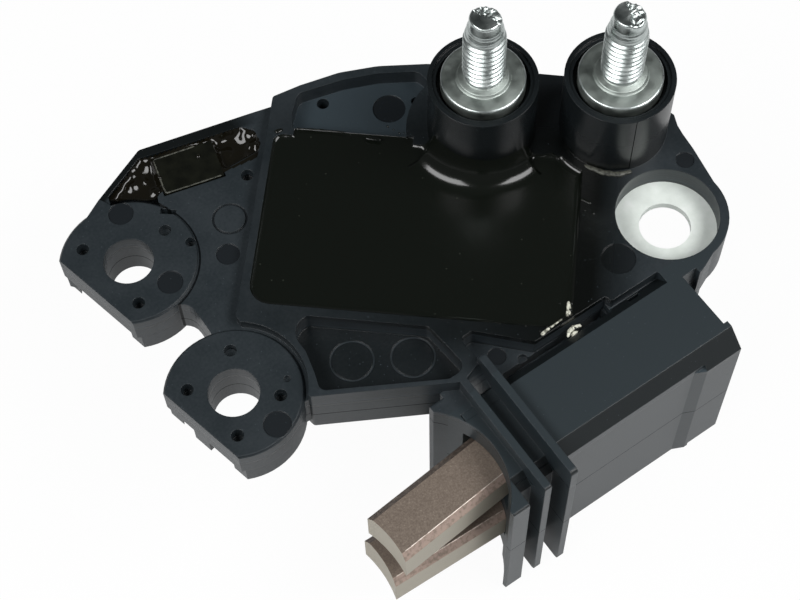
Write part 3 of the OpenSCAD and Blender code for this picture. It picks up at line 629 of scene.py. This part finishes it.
spilt = {
    # x, y and half width in mm of each drop
    "drops": [
        (-16.8, -3.5, 0.35), (-17.8, -5.7, 0.3), (-18.2, -3.7, 0.3), (-20.2, -3.7, 0.4), (-20.9, -4.0, 0.25),
        (-16.2, -2.9, 0.3), (-17.3, -3.9, 0.25), (-29.8, 4.3, 0.15), (-29.4, 3.8, 0.2), (-28.0, 3.3, 0.2),
        (-27.8, 2.3, 0.15), (-24.4, -0.3, 0.2), (-22.2, -2.2, 0.2), (-21.3, -3.7, 0.2), (-17.2, -2.0, 0.2),
        (-19.7, 28.8, 0.3), (-19.4, 28.0, 0.2), (-19.1, 27.2, 0.25), (-18.8, 26.1, 0.2), (-7.0, 5.0, 0.35),
        (-7.6, 5.9, 0.2), (-18.6, 26.9, 0.15), (-24.0, 30.4, 0.12), (-26.1, 32.6, 0.12)],
    # the same for the points along each run
    "runs": [
        [(-30.2, 35.8, 0.35), (-31.2, 36.0, 0.3)],
        [(-7.0, 7.5, 0.18), (-6.4, 6.2, 0.22)],
        [(-8.2, 15.7, 0.12), (-7.3, 15.0, 0.14), (-6.0, 14.3, 0.2), (-5.6, 13.3, 0.24)],
        [(-28.8, 35.0, 0.08), (-26.6, 33.2, 0.11), (-24.3, 31.1, 0.08)],
        [(-22.8, 29.1, 0.2), (-22.1, 28.4, 0.28), (-21.4, 27.7, 0.16)]],
    # runs coloured near white as a painted highlight, on the deck and then, with a height, on the slope in
    # front of it
    "paleRuns": [
        [(-21.5, -4.15, 0.24), (-20.6, -4.0, 0.2), (-19.4, -3.9, 0.2), (-18.2, -3.8, 0.18)],
        [(-17.6, -3.9, 0.2), (-17.1, -3.5, 0.28), (-16.6, -2.9, 0.24), (-16.2, -2.3, 0.14)]],
    "paleRunsOnSlope": [
        [(-18.6, -5.5, 2.0, 0.16), (-18.1, -5.05, 2.2, 0.22), (-17.3, -4.9, 2.25, 0.24),
         (-16.4, -5.15, 2.0, 0.2)],
        [(-18.2, -5.65, 2.0, 0.24), (-17.6, -5.5, 2.05, 0.3), (-17.2, -5.5, 2.0, 0.2)]],
    # where resin has crept round the foot of the right turret; its grey colour is a painted highlight
    "turretFoot": [(-4.4, 12.6, 0.16), (-4.1, 11.6, 0.2), (-3.5, 10.2, 0.3), (-2.6, 8.7, 0.36),
                   (-1.3, 7.5, 0.36), (0.2, 6.95, 0.26)],
    "paleHighlightTones": ("#6E6E62", "#E6E6D6"),
    "greyHighlightTones": ("#2C2D28", "#54554D"),
}


def beads(name, paths, material, body="regulator"):
    # half-round beads with rounded ends along (x, y, z, half width) paths
    sides = bead["sides"]
    verts, faces = [], []
    for path in paths:
        spots = spaced(path, bead["step"], 2)
        first, total = len(verts), len(spots)
        for i, (x, y, z, half) in enumerate(spots):
            back, on = spots[max(0, i - 2)], spots[min(total - 1, i + 2)]
            along = Vector((on[0] - back[0], on[1] - back[1], 0)).normalized()
            toEnd = min(dist(spots[i][:3], path[0][:3]), dist(spots[i][:3], path[-1][:3]))
            closing = sqrt(max(0.02, 1 - max(0.0, 1 - toEnd / half) ** 2))
            reach = half * closing * (1 + bead["uneven"] * noise.noise(Vector((x * 1.3, y * 1.3, 9.0))))
            for k in range(sides):
                turn = 2 * pi * k / sides
                verts.append((x - along.y * reach * cos(turn), y + along.x * reach * cos(turn),
                              z + bead["flat"] * reach * sin(turn)))
        for i in range(total - 1):
            for k in range(sides):
                a, b = first + i * sides + k, first + i * sides + (k + 1) % sides
                faces.append((a, a + sides, b + sides, b))
        faces.append(tuple(range(first, first + sides)))
        faces.append(tuple(range(first + total * sides - 1, first + (total - 1) * sides - 1, -1)))
    return addPiece(name, verts, faces, material, body)


def restingOn(path):
    # gives each (x, y, half width) of a path its height: the deck, or the resin inside the bay
    turn = radians(bay["angle"])
    spots = []
    for x, y, half in path:
        along = abs(x * cos(turn) + y * sin(turn) - bay["middle"][0])
        across = abs(-x * sin(turn) + y * cos(turn) - bay["middle"][1])
        inset = min(bay["half"][0] - along, bay["half"][1] - across)
        climbing = 0.34 * max(0.0, 1 - inset / 0.6)
        spots.append((x, y, (bay["deck"] if inset < 0 else bay["level"] + climbing) + 0.03, half))
    return spots


def highlightResin(name, tones):
    # resin beads in a pale two-tone colour that is a painted highlight, with a dull shine
    material, tree, place = newMaterial(name)
    patch = addNode(tree, "TexNoise", {"Vector": place, "Scale": perMm(0.5), "Detail": 2.0})
    return withSurface(material, {
        "Base Color": addNode(tree, "ValToRGB", {"Fac": patch}, stops=list(zip((0.4, 0.56), tones))),
        "Roughness": 0.45,
        "IOR": 1.5,
        "Normal": addNode(tree, "Bump", {"Height": patch, "Distance": mm(0.05), "Strength": 0.6}),
    })


paleResin = highlightResin("highlightResin", spilt["paleHighlightTones"])
greyResin = highlightResin("greyHighlightResin", spilt["greyHighlightTones"])
drops = [[(x - half * 0.4, y, half), (x + half * 0.4, y + 0.05, half)] for x, y, half in spilt["drops"]]
beads("resin_drops", [restingOn(path) for path in spilt["runs"] + drops], wetEpoxy)
beads("pale_highlight_runs", [restingOn(path) for path in spilt["paleRuns"]] + spilt["paleRunsOnSlope"], paleResin)
beads("turret_2_foot", [restingOn(spilt["turretFoot"])], greyResin)


# Small patches of moulding over the CAD solid

patches = {
    # low and high corner in mm of the webs between the block and two of the box's flanges
    "webs": [("rear_flange_web", (-31.0, -7.4, 0.9), (-28.8, -5.5, 1.66)),
             ("front_flange_web", (-34.0, -7.2, 0.9), (-31.7, -5.4, 1.66))],
    # x, y, z and half width in mm along the foot of the block's wall
    "trench": [(-26.6, -5.25, 0.5, 0.3), (-20.0, -5.25, 0.5, 0.32), (-13.4, -5.25, 0.5, 0.3)],
    "pins": [(-48.9, 32.6), (-51.0, 14.8), (-48.7, 8.1)],  # pin holes that are shallow
    "pinRadius": 0.71,
    "pinFloor": 1.95,  # mm, level of their floors
    # corner of the capacitor pocket's rim, and its level in mm
    "corner": [(-47.4, 36.5), (-47.1, 35.7), (-46.8, 35.1), (-46.2, 35.5), (-46.6, 37.4), (-47.1, 37.2)],
    "cornerZ": 2.41,
}


def block(name, low, high):
    # a plain block between two corners
    xs, ys, zs = zip(low, high)
    around = ((xs[0], ys[0]), (xs[1], ys[0]), (xs[1], ys[1]), (xs[0], ys[1]))
    verts = [(x, y, z) for z in zs for x, y in around]
    faces = [(3, 2, 1, 0), (4, 5, 6, 7), (0, 1, 5, 4), (1, 2, 6, 5), (2, 3, 7, 6), (3, 0, 4, 7)]
    addPiece(name, verts, faces, pbt, smooth=False)


def flatPatch(name, outline, z):
    # one level face with this outline
    addPiece(name, [(x, y, z) for x, y in outline], [tuple(range(len(outline)))], pbt)


for name, low, high in patches["webs"]:
    block(name, low, high)
beads("trench_fillet", [patches["trench"]], pbt)
for number, (x, y) in enumerate(patches["pins"]):
    radius, turns = patches["pinRadius"], [k * pi / 12 for k in range(24)]
    rim = [(x + radius * cos(turn), y + radius * sin(turn)) for turn in turns]
    flatPatch("shallow_pin_" + str(number + 1), rim, patches["pinFloor"])
flatPatch("pocket_corner", patches["corner"], patches["cornerZ"])
print("stage: potting resin cast")


# Studs: M5 x 0.8 with a dog point, zinc plated

stud = {
    "pitch": 0.8,
    "crest": 2.48,
    "root": 2.06,
    "flange": 4.95,
    "top": 14.4,  # mm, top of the flange
    "threadLength": 8.5,
    "threadRows": 128,
    "sides": 72,
    "dog": 1.86,
    "dogLength": 2.1,
    "turns": {"left": 0.4, "right": -0.5},  # radians, which side of the dog was torn off
    "thread": ("#AEB6B4", "#C9D1CF", "#E2E8E6"),
    "threadRoughness": (0.27, 0.42),
    "foot": ("#98A09B", "#ACB4AF", "#BCC4BF"),
    "footRoughness": (0.4, 0.6),
}


def platedSteel(name, tones, roughness, metallic):
    # plate on turned or punched metal: cool silver, fine tool marks, a little dulling in patches
    material, tree, place = newMaterial(name)
    blotch = addNode(tree, "TexNoise", {"Vector": place, "Scale": perMm(1.8), "Detail": 4.0})
    fine = addNode(tree, "TexNoise", {"Vector": place, "Scale": perMm(0.25), "Detail": 2.0})
    return withSurface(material, {
        "Base Color": addNode(tree, "ValToRGB", {"Fac": blotch}, stops=list(zip((0.3, 0.55, 0.75), tones))),
        "Metallic": metallic,
        "Roughness": addNode(tree, "MapRange", {
            "Value": blotch, "From Min": 0.3, "From Max": 0.7, "To Min": roughness[0],
            "To Max": roughness[1]}),
        "Normal": addNode(tree, "Bump", {"Height": fine, "Distance": mm(0.012), "Strength": 0.7}),
    })


def studProfile(s):
    # (radius, z) rows from the shank to the tip; the thread's rows have no radius of their own
    z0, top = s["top"], s["flange"]
    start, end = z0 + 0.7, z0 + 0.6 + s["threadLength"]
    dog, tip = s["dog"], end + s["dogLength"]
    shank = [(2.95, z0 - 2.6), (4.6, z0 - 2.2), (top, z0 - 1.9), (top, z0 - 0.2), (top - 0.05, z0 - 0.08),
             (top - 0.22, z0), (3.3, z0), (3.15, z0 + 0.02), (3.05, z0 + 0.34), (2.9, z0 + 0.45),
             (2.35, z0 + 0.48), (2.2, z0 + 0.62)]
    thread = [(None, z) for z in along(start, end, s["threadRows"])]
    point = [(2.1, end + 0.12), (1.95, end + 0.4), (dog - 0.03, end + 0.5), (dog, end + 0.6),
             (dog, end + 0.9), (dog, tip - 0.35), (dog - 0.06, tip - 0.12), (dog - 0.22, tip + 0.02)]
    return shank + thread + point + [(share * 0.2, tip + 0.03) for share in range(7, 0, -1)], start, end


def threadRadius(s, z, start, end, share):
    # the thread's radius at this height and this share of a turn, fading out at both ends
    wave = ((z - start) / s["pitch"] - share) % 1
    flank = min(1.0, abs(wave - 0.5) * 2 / 0.86)
    radius = s["crest"] - (s["crest"] - s["root"]) * (1 - flank) ** 0.9
    low = s["root"] if z > (start + end) / 2 else s["root"] + 0.1
    radius = low + (radius - low) * max(0, min(1, (z - start) / 0.5, (end - z) / 1.1))
    return min(radius, s["crest"] - (z - end + 1.6) * 0.26) if z > end - 1.6 else radius


def tornHeight(z, radius, angle, turn):
    # the dog's end is sheared off roughly, and deeper on one side
    spot = Vector((cos(angle) * radius, sin(angle) * radius, 4.0 * turn))
    height = z - 0.1 * abs(noise.noise(spot * 0.9))
    side = spot.x * cos(turn) + spot.y * sin(turn) + 0.3 * noise.noise(spot * 1.3)
    if side > 0.05:
        height -= 0.1 + 0.45 * abs(noise.noise(spot * 1.7)) + 0.12 * side
    return height


def addStud(name, at, turn, s):
    sides = s["sides"]
    rows, start, end = studProfile(s)
    tornFrom = end + s["dogLength"] - 0.5
    verts = []
    for radius, z in rows:
        for j in range(sides):
            angle = 2 * pi * j / sides + turn
            r = threadRadius(s, z, start, end, j / sides) if radius is None else radius
            height = tornHeight(z, r, angle, turn) if z > tornFrom else z
            verts.append((at[0] + r * cos(angle), at[1] + r * sin(angle), height))
    rim, top = len(verts) - sides, len(verts)
    verts.append((at[0], at[1], rows[-1][1] - 0.03))
    cap = [(rim + j, rim + (j + 1) % sides, top) for j in range(sides)]
    piece = addPiece(name, verts, ringFaces(len(rows), sides) + cap, brightZinc)
    piece.data.materials.append(satinZinc)
    for polygon in piece.data.polygons:
        row = polygon.index // sides
        polygon.material_index = 1 if row < 11 and row not in (3, 4) else 0  # the flange's rounded edge takes the paler, glossier plate, partly a painted highlight along its rim
        polygon.use_smooth = row < len(rows) - 8  # the sheared end stays sharp
    return piece


brightZinc = platedSteel("brightZincPlate", stud["thread"], stud["threadRoughness"], 1.0)
satinZinc = platedSteel("satinZincPlate", stud["foot"], stud["footRoughness"], 1.0)
for which in ("left", "right"):
    piece = addStud("threaded_stud_" + which, turrets[which], stud["turns"][which], stud)
    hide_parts("stud_" + which)
print("stage: studs threaded")


# Ground ring: matt tin that looks nearly white

ring = {"tones": ("#E2E9E3", "#ECF3ED", "#F5FAF6"), "roughness": (0.5, 0.62), "metallic": 0.08}
dress("ground_ring", platedSteel("mattTinPlate", ring["tones"], ring["roughness"], ring["metallic"]))


# Brushes

brush = {
    "dark": "#74675D",
    "light": "#8A7D71",
    "worn": "#9E9286",
    "grain": 0.22,         # mm, pressed powder; drawn a little coarse so that it shows
    "grainDepth": 0.03,    # mm
    "flank": "#B4AF9F",    # the flanks are painted paler and greener than the top, a painted reflection of the white floor
    "flankShare": 0.7,
    # the chamfer facing the viewer is painted paler as painted light, the one facing away darker as painted
    # shade
    "litNearChamfer": "#B39E92",
    "shadedFarChamfer": "#5A4F48",
    "chamferBreakup": 0.45,          # mm, size of the patches that break up the chamfers' painted light and shade
    "edgeRadius": 0.1,     # mm
    "glint": "#E9DCD2",
    "length": 20.2,
    "edge": (-2.5, 2.63),  # mm, the top edge that carries a painted glint, across and above the brush's middle
    "edgeHalf": 0.07,      # mm, half of its width
    "edgeFrom": (0.6, 10.2, 15.2),  # mm from the tip, points along it
    "rear": {"upper": (-28.2, -10.4, -4.55), "lower": (-28.8, -12.2, -12.75)},  # mm, middle of rear face
    "turns": {"upper": 5.0, "lower": -2.0},  # degrees about Z
}


def pressedCarbon(b):
    # copper-graphite, pressed and sintered: warm brown-grey, powdery, with a faint metal glint
    material, tree, place = newMaterial("copperGraphite")
    grain = addNode(tree, "TexNoise", {
        "Vector": place, "Scale": perMm(b["grain"]), "Detail": 4.0, "Roughness": 0.7})
    tone = addNode(tree, "ValToRGB", {"Fac": grain},
                   stops=[(0.34, b["dark"]), (0.6, b["light"]), (0.72, b["worn"])])
    normal = addNode(tree, "SeparateXYZ", {"Vector": addNode(tree, "TexCoord").outputs["Normal"]})
    upright = addNode(tree, "Math", {0: normal.outputs["Z"], 1: 0.0, 2: 0.4}, operation="COMPARE")
    sloped = addNode(tree, "Math", {0: normal.outputs["Z"], 1: 0.7, 2: 0.15}, operation="COMPARE")
    chamferBreakup = addNode(tree, "TexNoise", {"Vector": place, "Scale": perMm(b["chamferBreakup"]), "Detail": 3.0})
    chamferPatches = addNode(tree, "MapRange", {"Value": chamferBreakup, "From Min": 0.36, "From Max": 0.52, "To Min": 0.35})
    # the flanks get painted light
    masks = [(joinMasks(tree, "MULTIPLY", [upright, b["flankShare"]]), b["flank"])]
    # the near chamfer gets painted light, the far one painted shade
    for colour, side in ((b["litNearChamfer"], "LESS_THAN"), (b["shadedFarChamfer"], "GREATER_THAN")):
        thisSide = addNode(tree, "Math", {0: normal.outputs["Y"], 1: 0.0}, operation=side)
        masks.append((joinMasks(tree, "MULTIPLY", [thisSide, sloped, chamferPatches]), colour))
    for mask, colour in masks:
        tone = addNode(tree, "Mix", {0: mask, 6: tone, 7: srgb(colour)}, data_type="RGBA")
    soft = addNode(tree, "Bevel", {"Radius": mm(b["edgeRadius"])}, samples=4)
    return withSurface(material, {
        "Base Color": tone,
        "Metallic": 0.35,
        "Roughness": addNode(tree, "MapRange", {"Value": grain, "To Min": 0.38, "To Max": 0.56}),
        "Normal": addNode(tree, "Bump", {
            "Height": grain, "Distance": mm(b["grainDepth"]), "Strength": 0.7, "Normal": soft}),
    })


def paintedEdgeGlint(b):
    # a painted highlight along a top edge: a thin broken glint
    material, tree, place = newMaterial("paintedEdgeGlint")
    glintBreakup = addNode(tree, "TexNoise", {"Vector": place, "Scale": perMm(0.8)})
    return withSurface(material, {
        "Base Color": addNode(tree, "ValToRGB", {"Fac": glintBreakup},
                              stops=[(0.35, b["litNearChamfer"]), (0.5, b["glint"])]),
        "Metallic": 0.6,
        "Roughness": 0.3,
    })


def brushEdge(which, b, material):
    (x, y, z), turn = b["rear"][which], radians(b["turns"][which])
    across, above = b["edge"]
    path = []
    for fromTip in b["edgeFrom"]:
        back = b["length"] - fromTip
        path.append((x - back * cos(turn) - across * sin(turn), y - back * sin(turn) + across * cos(turn),
                     z + above, b["edgeHalf"]))
    beads(which + "_brush_edge", [path], material, which + "_brush_body")


carbon = pressedCarbon(brush)
edgeGlint = paintedEdgeGlint(brush)
for which in ("upper", "lower"):
    dress(which + "_brush", carbon)
    brushEdge(which, brush, edgeGlint)
print("stage: brushes dressed")


# Small metal and board pieces inside

inner = {
    # dark and pale tone, grain in mm, roughness, metallic, depth in mm, and the nodes that have it
    "rolledCopper": ("#9A6146", "#B5775A", 0.6, 0.3, 1.0, 0.008, [  # bright warm strip
        "stud_strip_left", "stud_strip_right", "upper_brush_terminal", "lower_brush_terminal"]),
    "springSteelWire": ("#6F7478", "#8B9094", 0.3, 0.32, 1.0, 0.006, []),  # drawn, grey
    "rolledAluminium": ("#A9ADAF", "#BDC1C3", 1.2, 0.42, 1.0, 0.012, ["heat_sink_plate"]),  # dull sheet
    "glassEpoxyBoard": ("#1D4A32", "#28593D", 0.8, 0.4, 0.0, 0.01, ["circuit_board"]),  # green, satin
    "mouldedPackage": ("#151618", "#1F2123", 0.3, 0.5, 0.0, 0.01, [  # matt black
        "control_chip", "freewheel_diode"]),
    "resinDippedCase": ("#0E0F0B", "#171812", 1.4, 0.16, 0.0, 0.02, ["filter_capacitor"]),  # wet black
}

coil = {
    "anchor": -5.6,       # mm, X of the terminals that the springs and leads end at
    "gap": 0.05,          # mm, how far they stop short of it
    "radius": 1.98,
    "wire": 0.22,
    "turns": 15,
    "ringsPerTurn": 28,
    "fromBrush": 0.35,    # mm, from the brush's rear face to the spring
    "lead": 0.62,         # mm, mean radius of the braid
    "strands": 7,
    "strandDepth": 0.07,  # mm
    "twist": 1.1,         # radians in each mm
    "inBrush": 1.5,       # mm, how deep the lead sits in the brush
    "leadRings": 160,
    "travel": 8.0,        # mm, how far a brush slides in
}


def plainFinish(name, dark, pale, grain, roughness, metallic, depth):
    # a finish with a fine two-tone grain and its own bump
    material, tree, place = newMaterial(name)
    texture = addNode(tree, "TexNoise", {"Vector": place, "Scale": perMm(grain), "Detail": 3.0})
    return withSurface(material, {
        "Base Color": addNode(tree, "ValToRGB", {"Fac": texture}, stops=[(0.35, dark), (0.65, pale)]),
        "Metallic": metallic,
        "Roughness": roughness,
        "Normal": addNode(tree, "Bump", {"Height": texture, "Distance": mm(depth), "Strength": 1.0}),
    })


def tube(name, rows, material):
    # a skin over rows of points, closed at both ends
    sides = len(rows[0])
    verts = [v for row in rows for v in row]
    ends = [tuple(range(sides - 1, -1, -1)), tuple(range(len(verts) - sides, len(verts)))]
    return addPiece(name, verts, ends + ringFaces(len(rows), sides), material)


def wireRing(c, number, at, y, z, sides=8):
    # a ring of points round the spring's wire, counted along its coil
    angle, ring = 2 * pi * number / c["ringsPerTurn"], []
    for k in range(sides):
        turn = 2 * pi * k / sides
        out = c["radius"] + c["wire"] * cos(turn)
        ring.append((at + c["wire"] * sin(turn), y + out * cos(angle), z + out * sin(angle)))
    return ring


def braidRing(c, at, y, z, sides=42):
    # a ring of points round the lead, with a bulge for each strand, turning along its length
    ring = []
    for k in range(sides):
        turn = 2 * pi * k / sides
        out = c["lead"] + c["strandDepth"] * abs(cos(0.5 * c["strands"] * (turn - at * c["twist"])))
        ring.append((at, y + out * cos(turn), z + out * sin(turn)))
    return ring


def springAndLead(which, c, wire, braid):
    x, y, z = brush["rear"][which]
    end = c["anchor"] - c["gap"]
    places = along(x + c["fromBrush"] + c["wire"], end - c["wire"], c["turns"] * c["ringsPerTurn"])
    rings = [wireRing(c, number, at, y, z) for number, at in enumerate(places)]
    spring = tube(which + "_coil", rings, wire)
    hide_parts(which + "_spring")
    rings = [braidRing(c, at, y, z) for at in along(x - c["inBrush"], end, c["leadRings"])]
    lead = tube(which + "_braid", rings, braid)
    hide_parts(which + "_brush_lead")
    for piece, first in ((spring, x + c["fromBrush"]), (lead, x - c["inBrush"])):
        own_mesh(piece)


finishes = {}
for name, (*look, nodeNames) in inner.items():
    finishes[name] = plainFinish(name, *look)
    for nodeName in nodeNames:
        dress(nodeName, finishes[name])
for which in ("upper", "lower"):
    springAndLead(which, coil, finishes["springSteelWire"], finishes["rolledCopper"])


# Capacitor pocket, filled by hand with brown resin

capacitor = {
    "colour": "#13110B",
    "roughness": 0.1,
    "ripple": 2.0,       # mm
    "pocket": [(-52.4, 40.4), (-46.2, 43.1), (-33.9, 39.9), (-32.6, 38.4), (-33.6, 35.7), (-38.6, 35.8),
               (-46.4, 37.6), (-47.4, 37.0)],  # mm, the pocket's walls
    # mm, how far resin lies on the field
    "spill": [(-52.4, 40.4), (-46.2, 43.1), (-33.9, 39.9), (-32.6, 38.4), (-33.0, 36.4), (-34.5, 34.9),
              (-38.9, 35.5), (-46.4, 37.4), (-48.0, 37.9), (-51.3, 39.3)],
    "middle": (-42.0, 38.55),
    "turn": radians(-14),
    "half": (3.7, 2.6),  # mm, half of the capacitor's length and width
    "level": 1.35,       # mm, top of the resin
    "field": 2.4,        # mm, top of the moulding round the pocket
    "lump": 0.3,         # mm, how far it heaves
    "wallClimb": 1.0,    # mm, how far it creeps up the walls
    "bodyClimb": 0.9,    # mm, how far it creeps up the capacitor
    "climbWidth": 0.9,   # mm, how wide both are
    "climbCurve": 2.2,
    "step": 0.15,        # mm, grid of the poured surface
    # x, y, reach and height of each dab
    "dabs": [
        (-46.1, 42.2, 0.8, 0.6), (-47.4, 41.9, 0.7, 0.5), (-48.8, 40.6, 0.7, 0.6), (-47.4, 40.6, 0.8, 0.5),
        (-46.9, 38.5, 0.6, 0.4), (-38.3, 38.6, 0.7, 0.5), (-36.8, 38.1, 0.8, 0.45), (-37.9, 41.2, 0.6, 0.6),
        (-36.6, 40.5, 0.7, 0.5), (-35.0, 40.2, 0.8, 0.5), (-33.9, 38.9, 0.8, 0.6), (-34.0, 37.2, 0.7, 0.5),
        (-50.2, 40.2, 0.5, 0.3), (-34.9, 36.4, 0.5, 0.3)],
    # beads round the capacitor's top, coloured grey as a painted highlight along its edges, and drops on it:
    # level, then along, across and half width
    "beads": [(2.52, [(-3.6, 2.5, 0.08), (-3.6, 0.2, 0.12), (-3.6, -1.6, 0.1), (-3.5, -2.5, 0.1)]),
              (2.52, [(-3.5, -2.5, 0.1), (0, -2.52, 0.09), (3.4, -2.5, 0.09)]),
              (2.52, [(-3.5, 2.5, 0.08), (1.6, 2.55, 0.12)])],
    "drops": [(2.54, [(1.3, 1.1, 0.42), (1.9, 1.0, 0.36)]),
              (2.5, [(-3.8, -0.2, 0.34), (-3.4, 0.0, 0.34)]),
              (2.5, [(-4.4, -2.0, 0.24), (-4.1, -2.0, 0.2)])],
}


def edgeDistance(x, y, outline):
    # distance in mm from a point to the nearest side of an outline, and whether it is inside
    best, inside = 99.0, False
    for i, (ax, ay) in enumerate(outline):
        bx, by = outline[(i + 1) % len(outline)]
        t = ((x - ax) * (bx - ax) + (y - ay) * (by - ay)) / ((bx - ax) ** 2 + (by - ay) ** 2)
        t = min(1.0, max(0.0, t))
        best = min(best, hypot(x - ax - t * (bx - ax), y - ay - t * (by - ay)))
        if (ay > y) != (by > y) and x < (bx - ax) * (y - ay) / (by - ay) + ax:
            inside = not inside
    return best, inside


def pouredHeight(x, y, c):
    # resin dabbed round the capacitor: heaps, and fillets up the walls and the capacitor
    wall, inside = edgeDistance(x, y, c["pocket"])
    if not inside:
        edge, onField = edgeDistance(x, y, c["spill"])
        return c["field"] + min(0.06, 0.2 * edge) if onField else None
    dx, dy = x - c["middle"][0], y - c["middle"][1]
    u = abs(dx * cos(c["turn"]) + dy * sin(c["turn"])) - c["half"][0]
    v = abs(-dx * sin(c["turn"]) + dy * cos(c["turn"])) - c["half"][1]
    body = hypot(max(u, 0), max(v, 0))
    height = c["level"] + c["lump"] * noise.noise(Vector((x * 0.4, y * 0.4, 2.0)))
    for dabX, dabY, reach, high in c["dabs"]:
        height += high * exp(-((x - dabX) ** 2 + (y - dabY) ** 2) / reach ** 2)
    for climb, away in ((c["wallClimb"], wall), (c["bodyClimb"], body)):
        height += climb * max(0.0, 1 - away / c["climbWidth"]) ** c["climbCurve"]
    return min(height, c["field"] + 0.08)


def pouredByHand(c, material):
    xs, ys = zip(*c["spill"])
    columns = int((max(xs) - min(xs)) / c["step"]) + 3
    rows = int((max(ys) - min(ys)) / c["step"]) + 3
    cells, verts, faces = {}, [], []
    for i in range(columns):
        for j in range(rows):
            x, y = min(xs) - c["step"] + i * c["step"], min(ys) - c["step"] + j * c["step"]
            height = pouredHeight(x, y, c)
            if height is not None:
                cells[i, j] = len(verts)
                verts.append((x, y, height))
    for i, j in cells:
        corners = [cells.get(k) for k in ((i, j), (i + 1, j), (i + 1, j + 1), (i, j + 1))]
        if None not in corners:
            faces.append(tuple(corners))
    return addPiece("capacitor_resin_poured", verts, faces, material)


def onCapacitor(c, paths):
    # paths given along and across the capacitor, as (x, y, z, half width) paths
    (x, y), turn = c["middle"], c["turn"]
    return [[(x + u * cos(turn) - v * sin(turn), y + u * sin(turn) + v * cos(turn), z, half)
             for u, v, half in path] for z, path in paths]


brownEpoxy = castEpoxy("brownCastEpoxy", capacitor, capacitor["roughness"])
piece = pouredByHand(capacitor, brownEpoxy)
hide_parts("capacitor_resin")
beads("capacitor_beads", onCapacitor(capacitor, capacitor["beads"]), greyResin)
beads("capacitor_drops", onCapacitor(capacitor, capacitor["drops"]), brownEpoxy)
print("stage: inner pieces dressed")
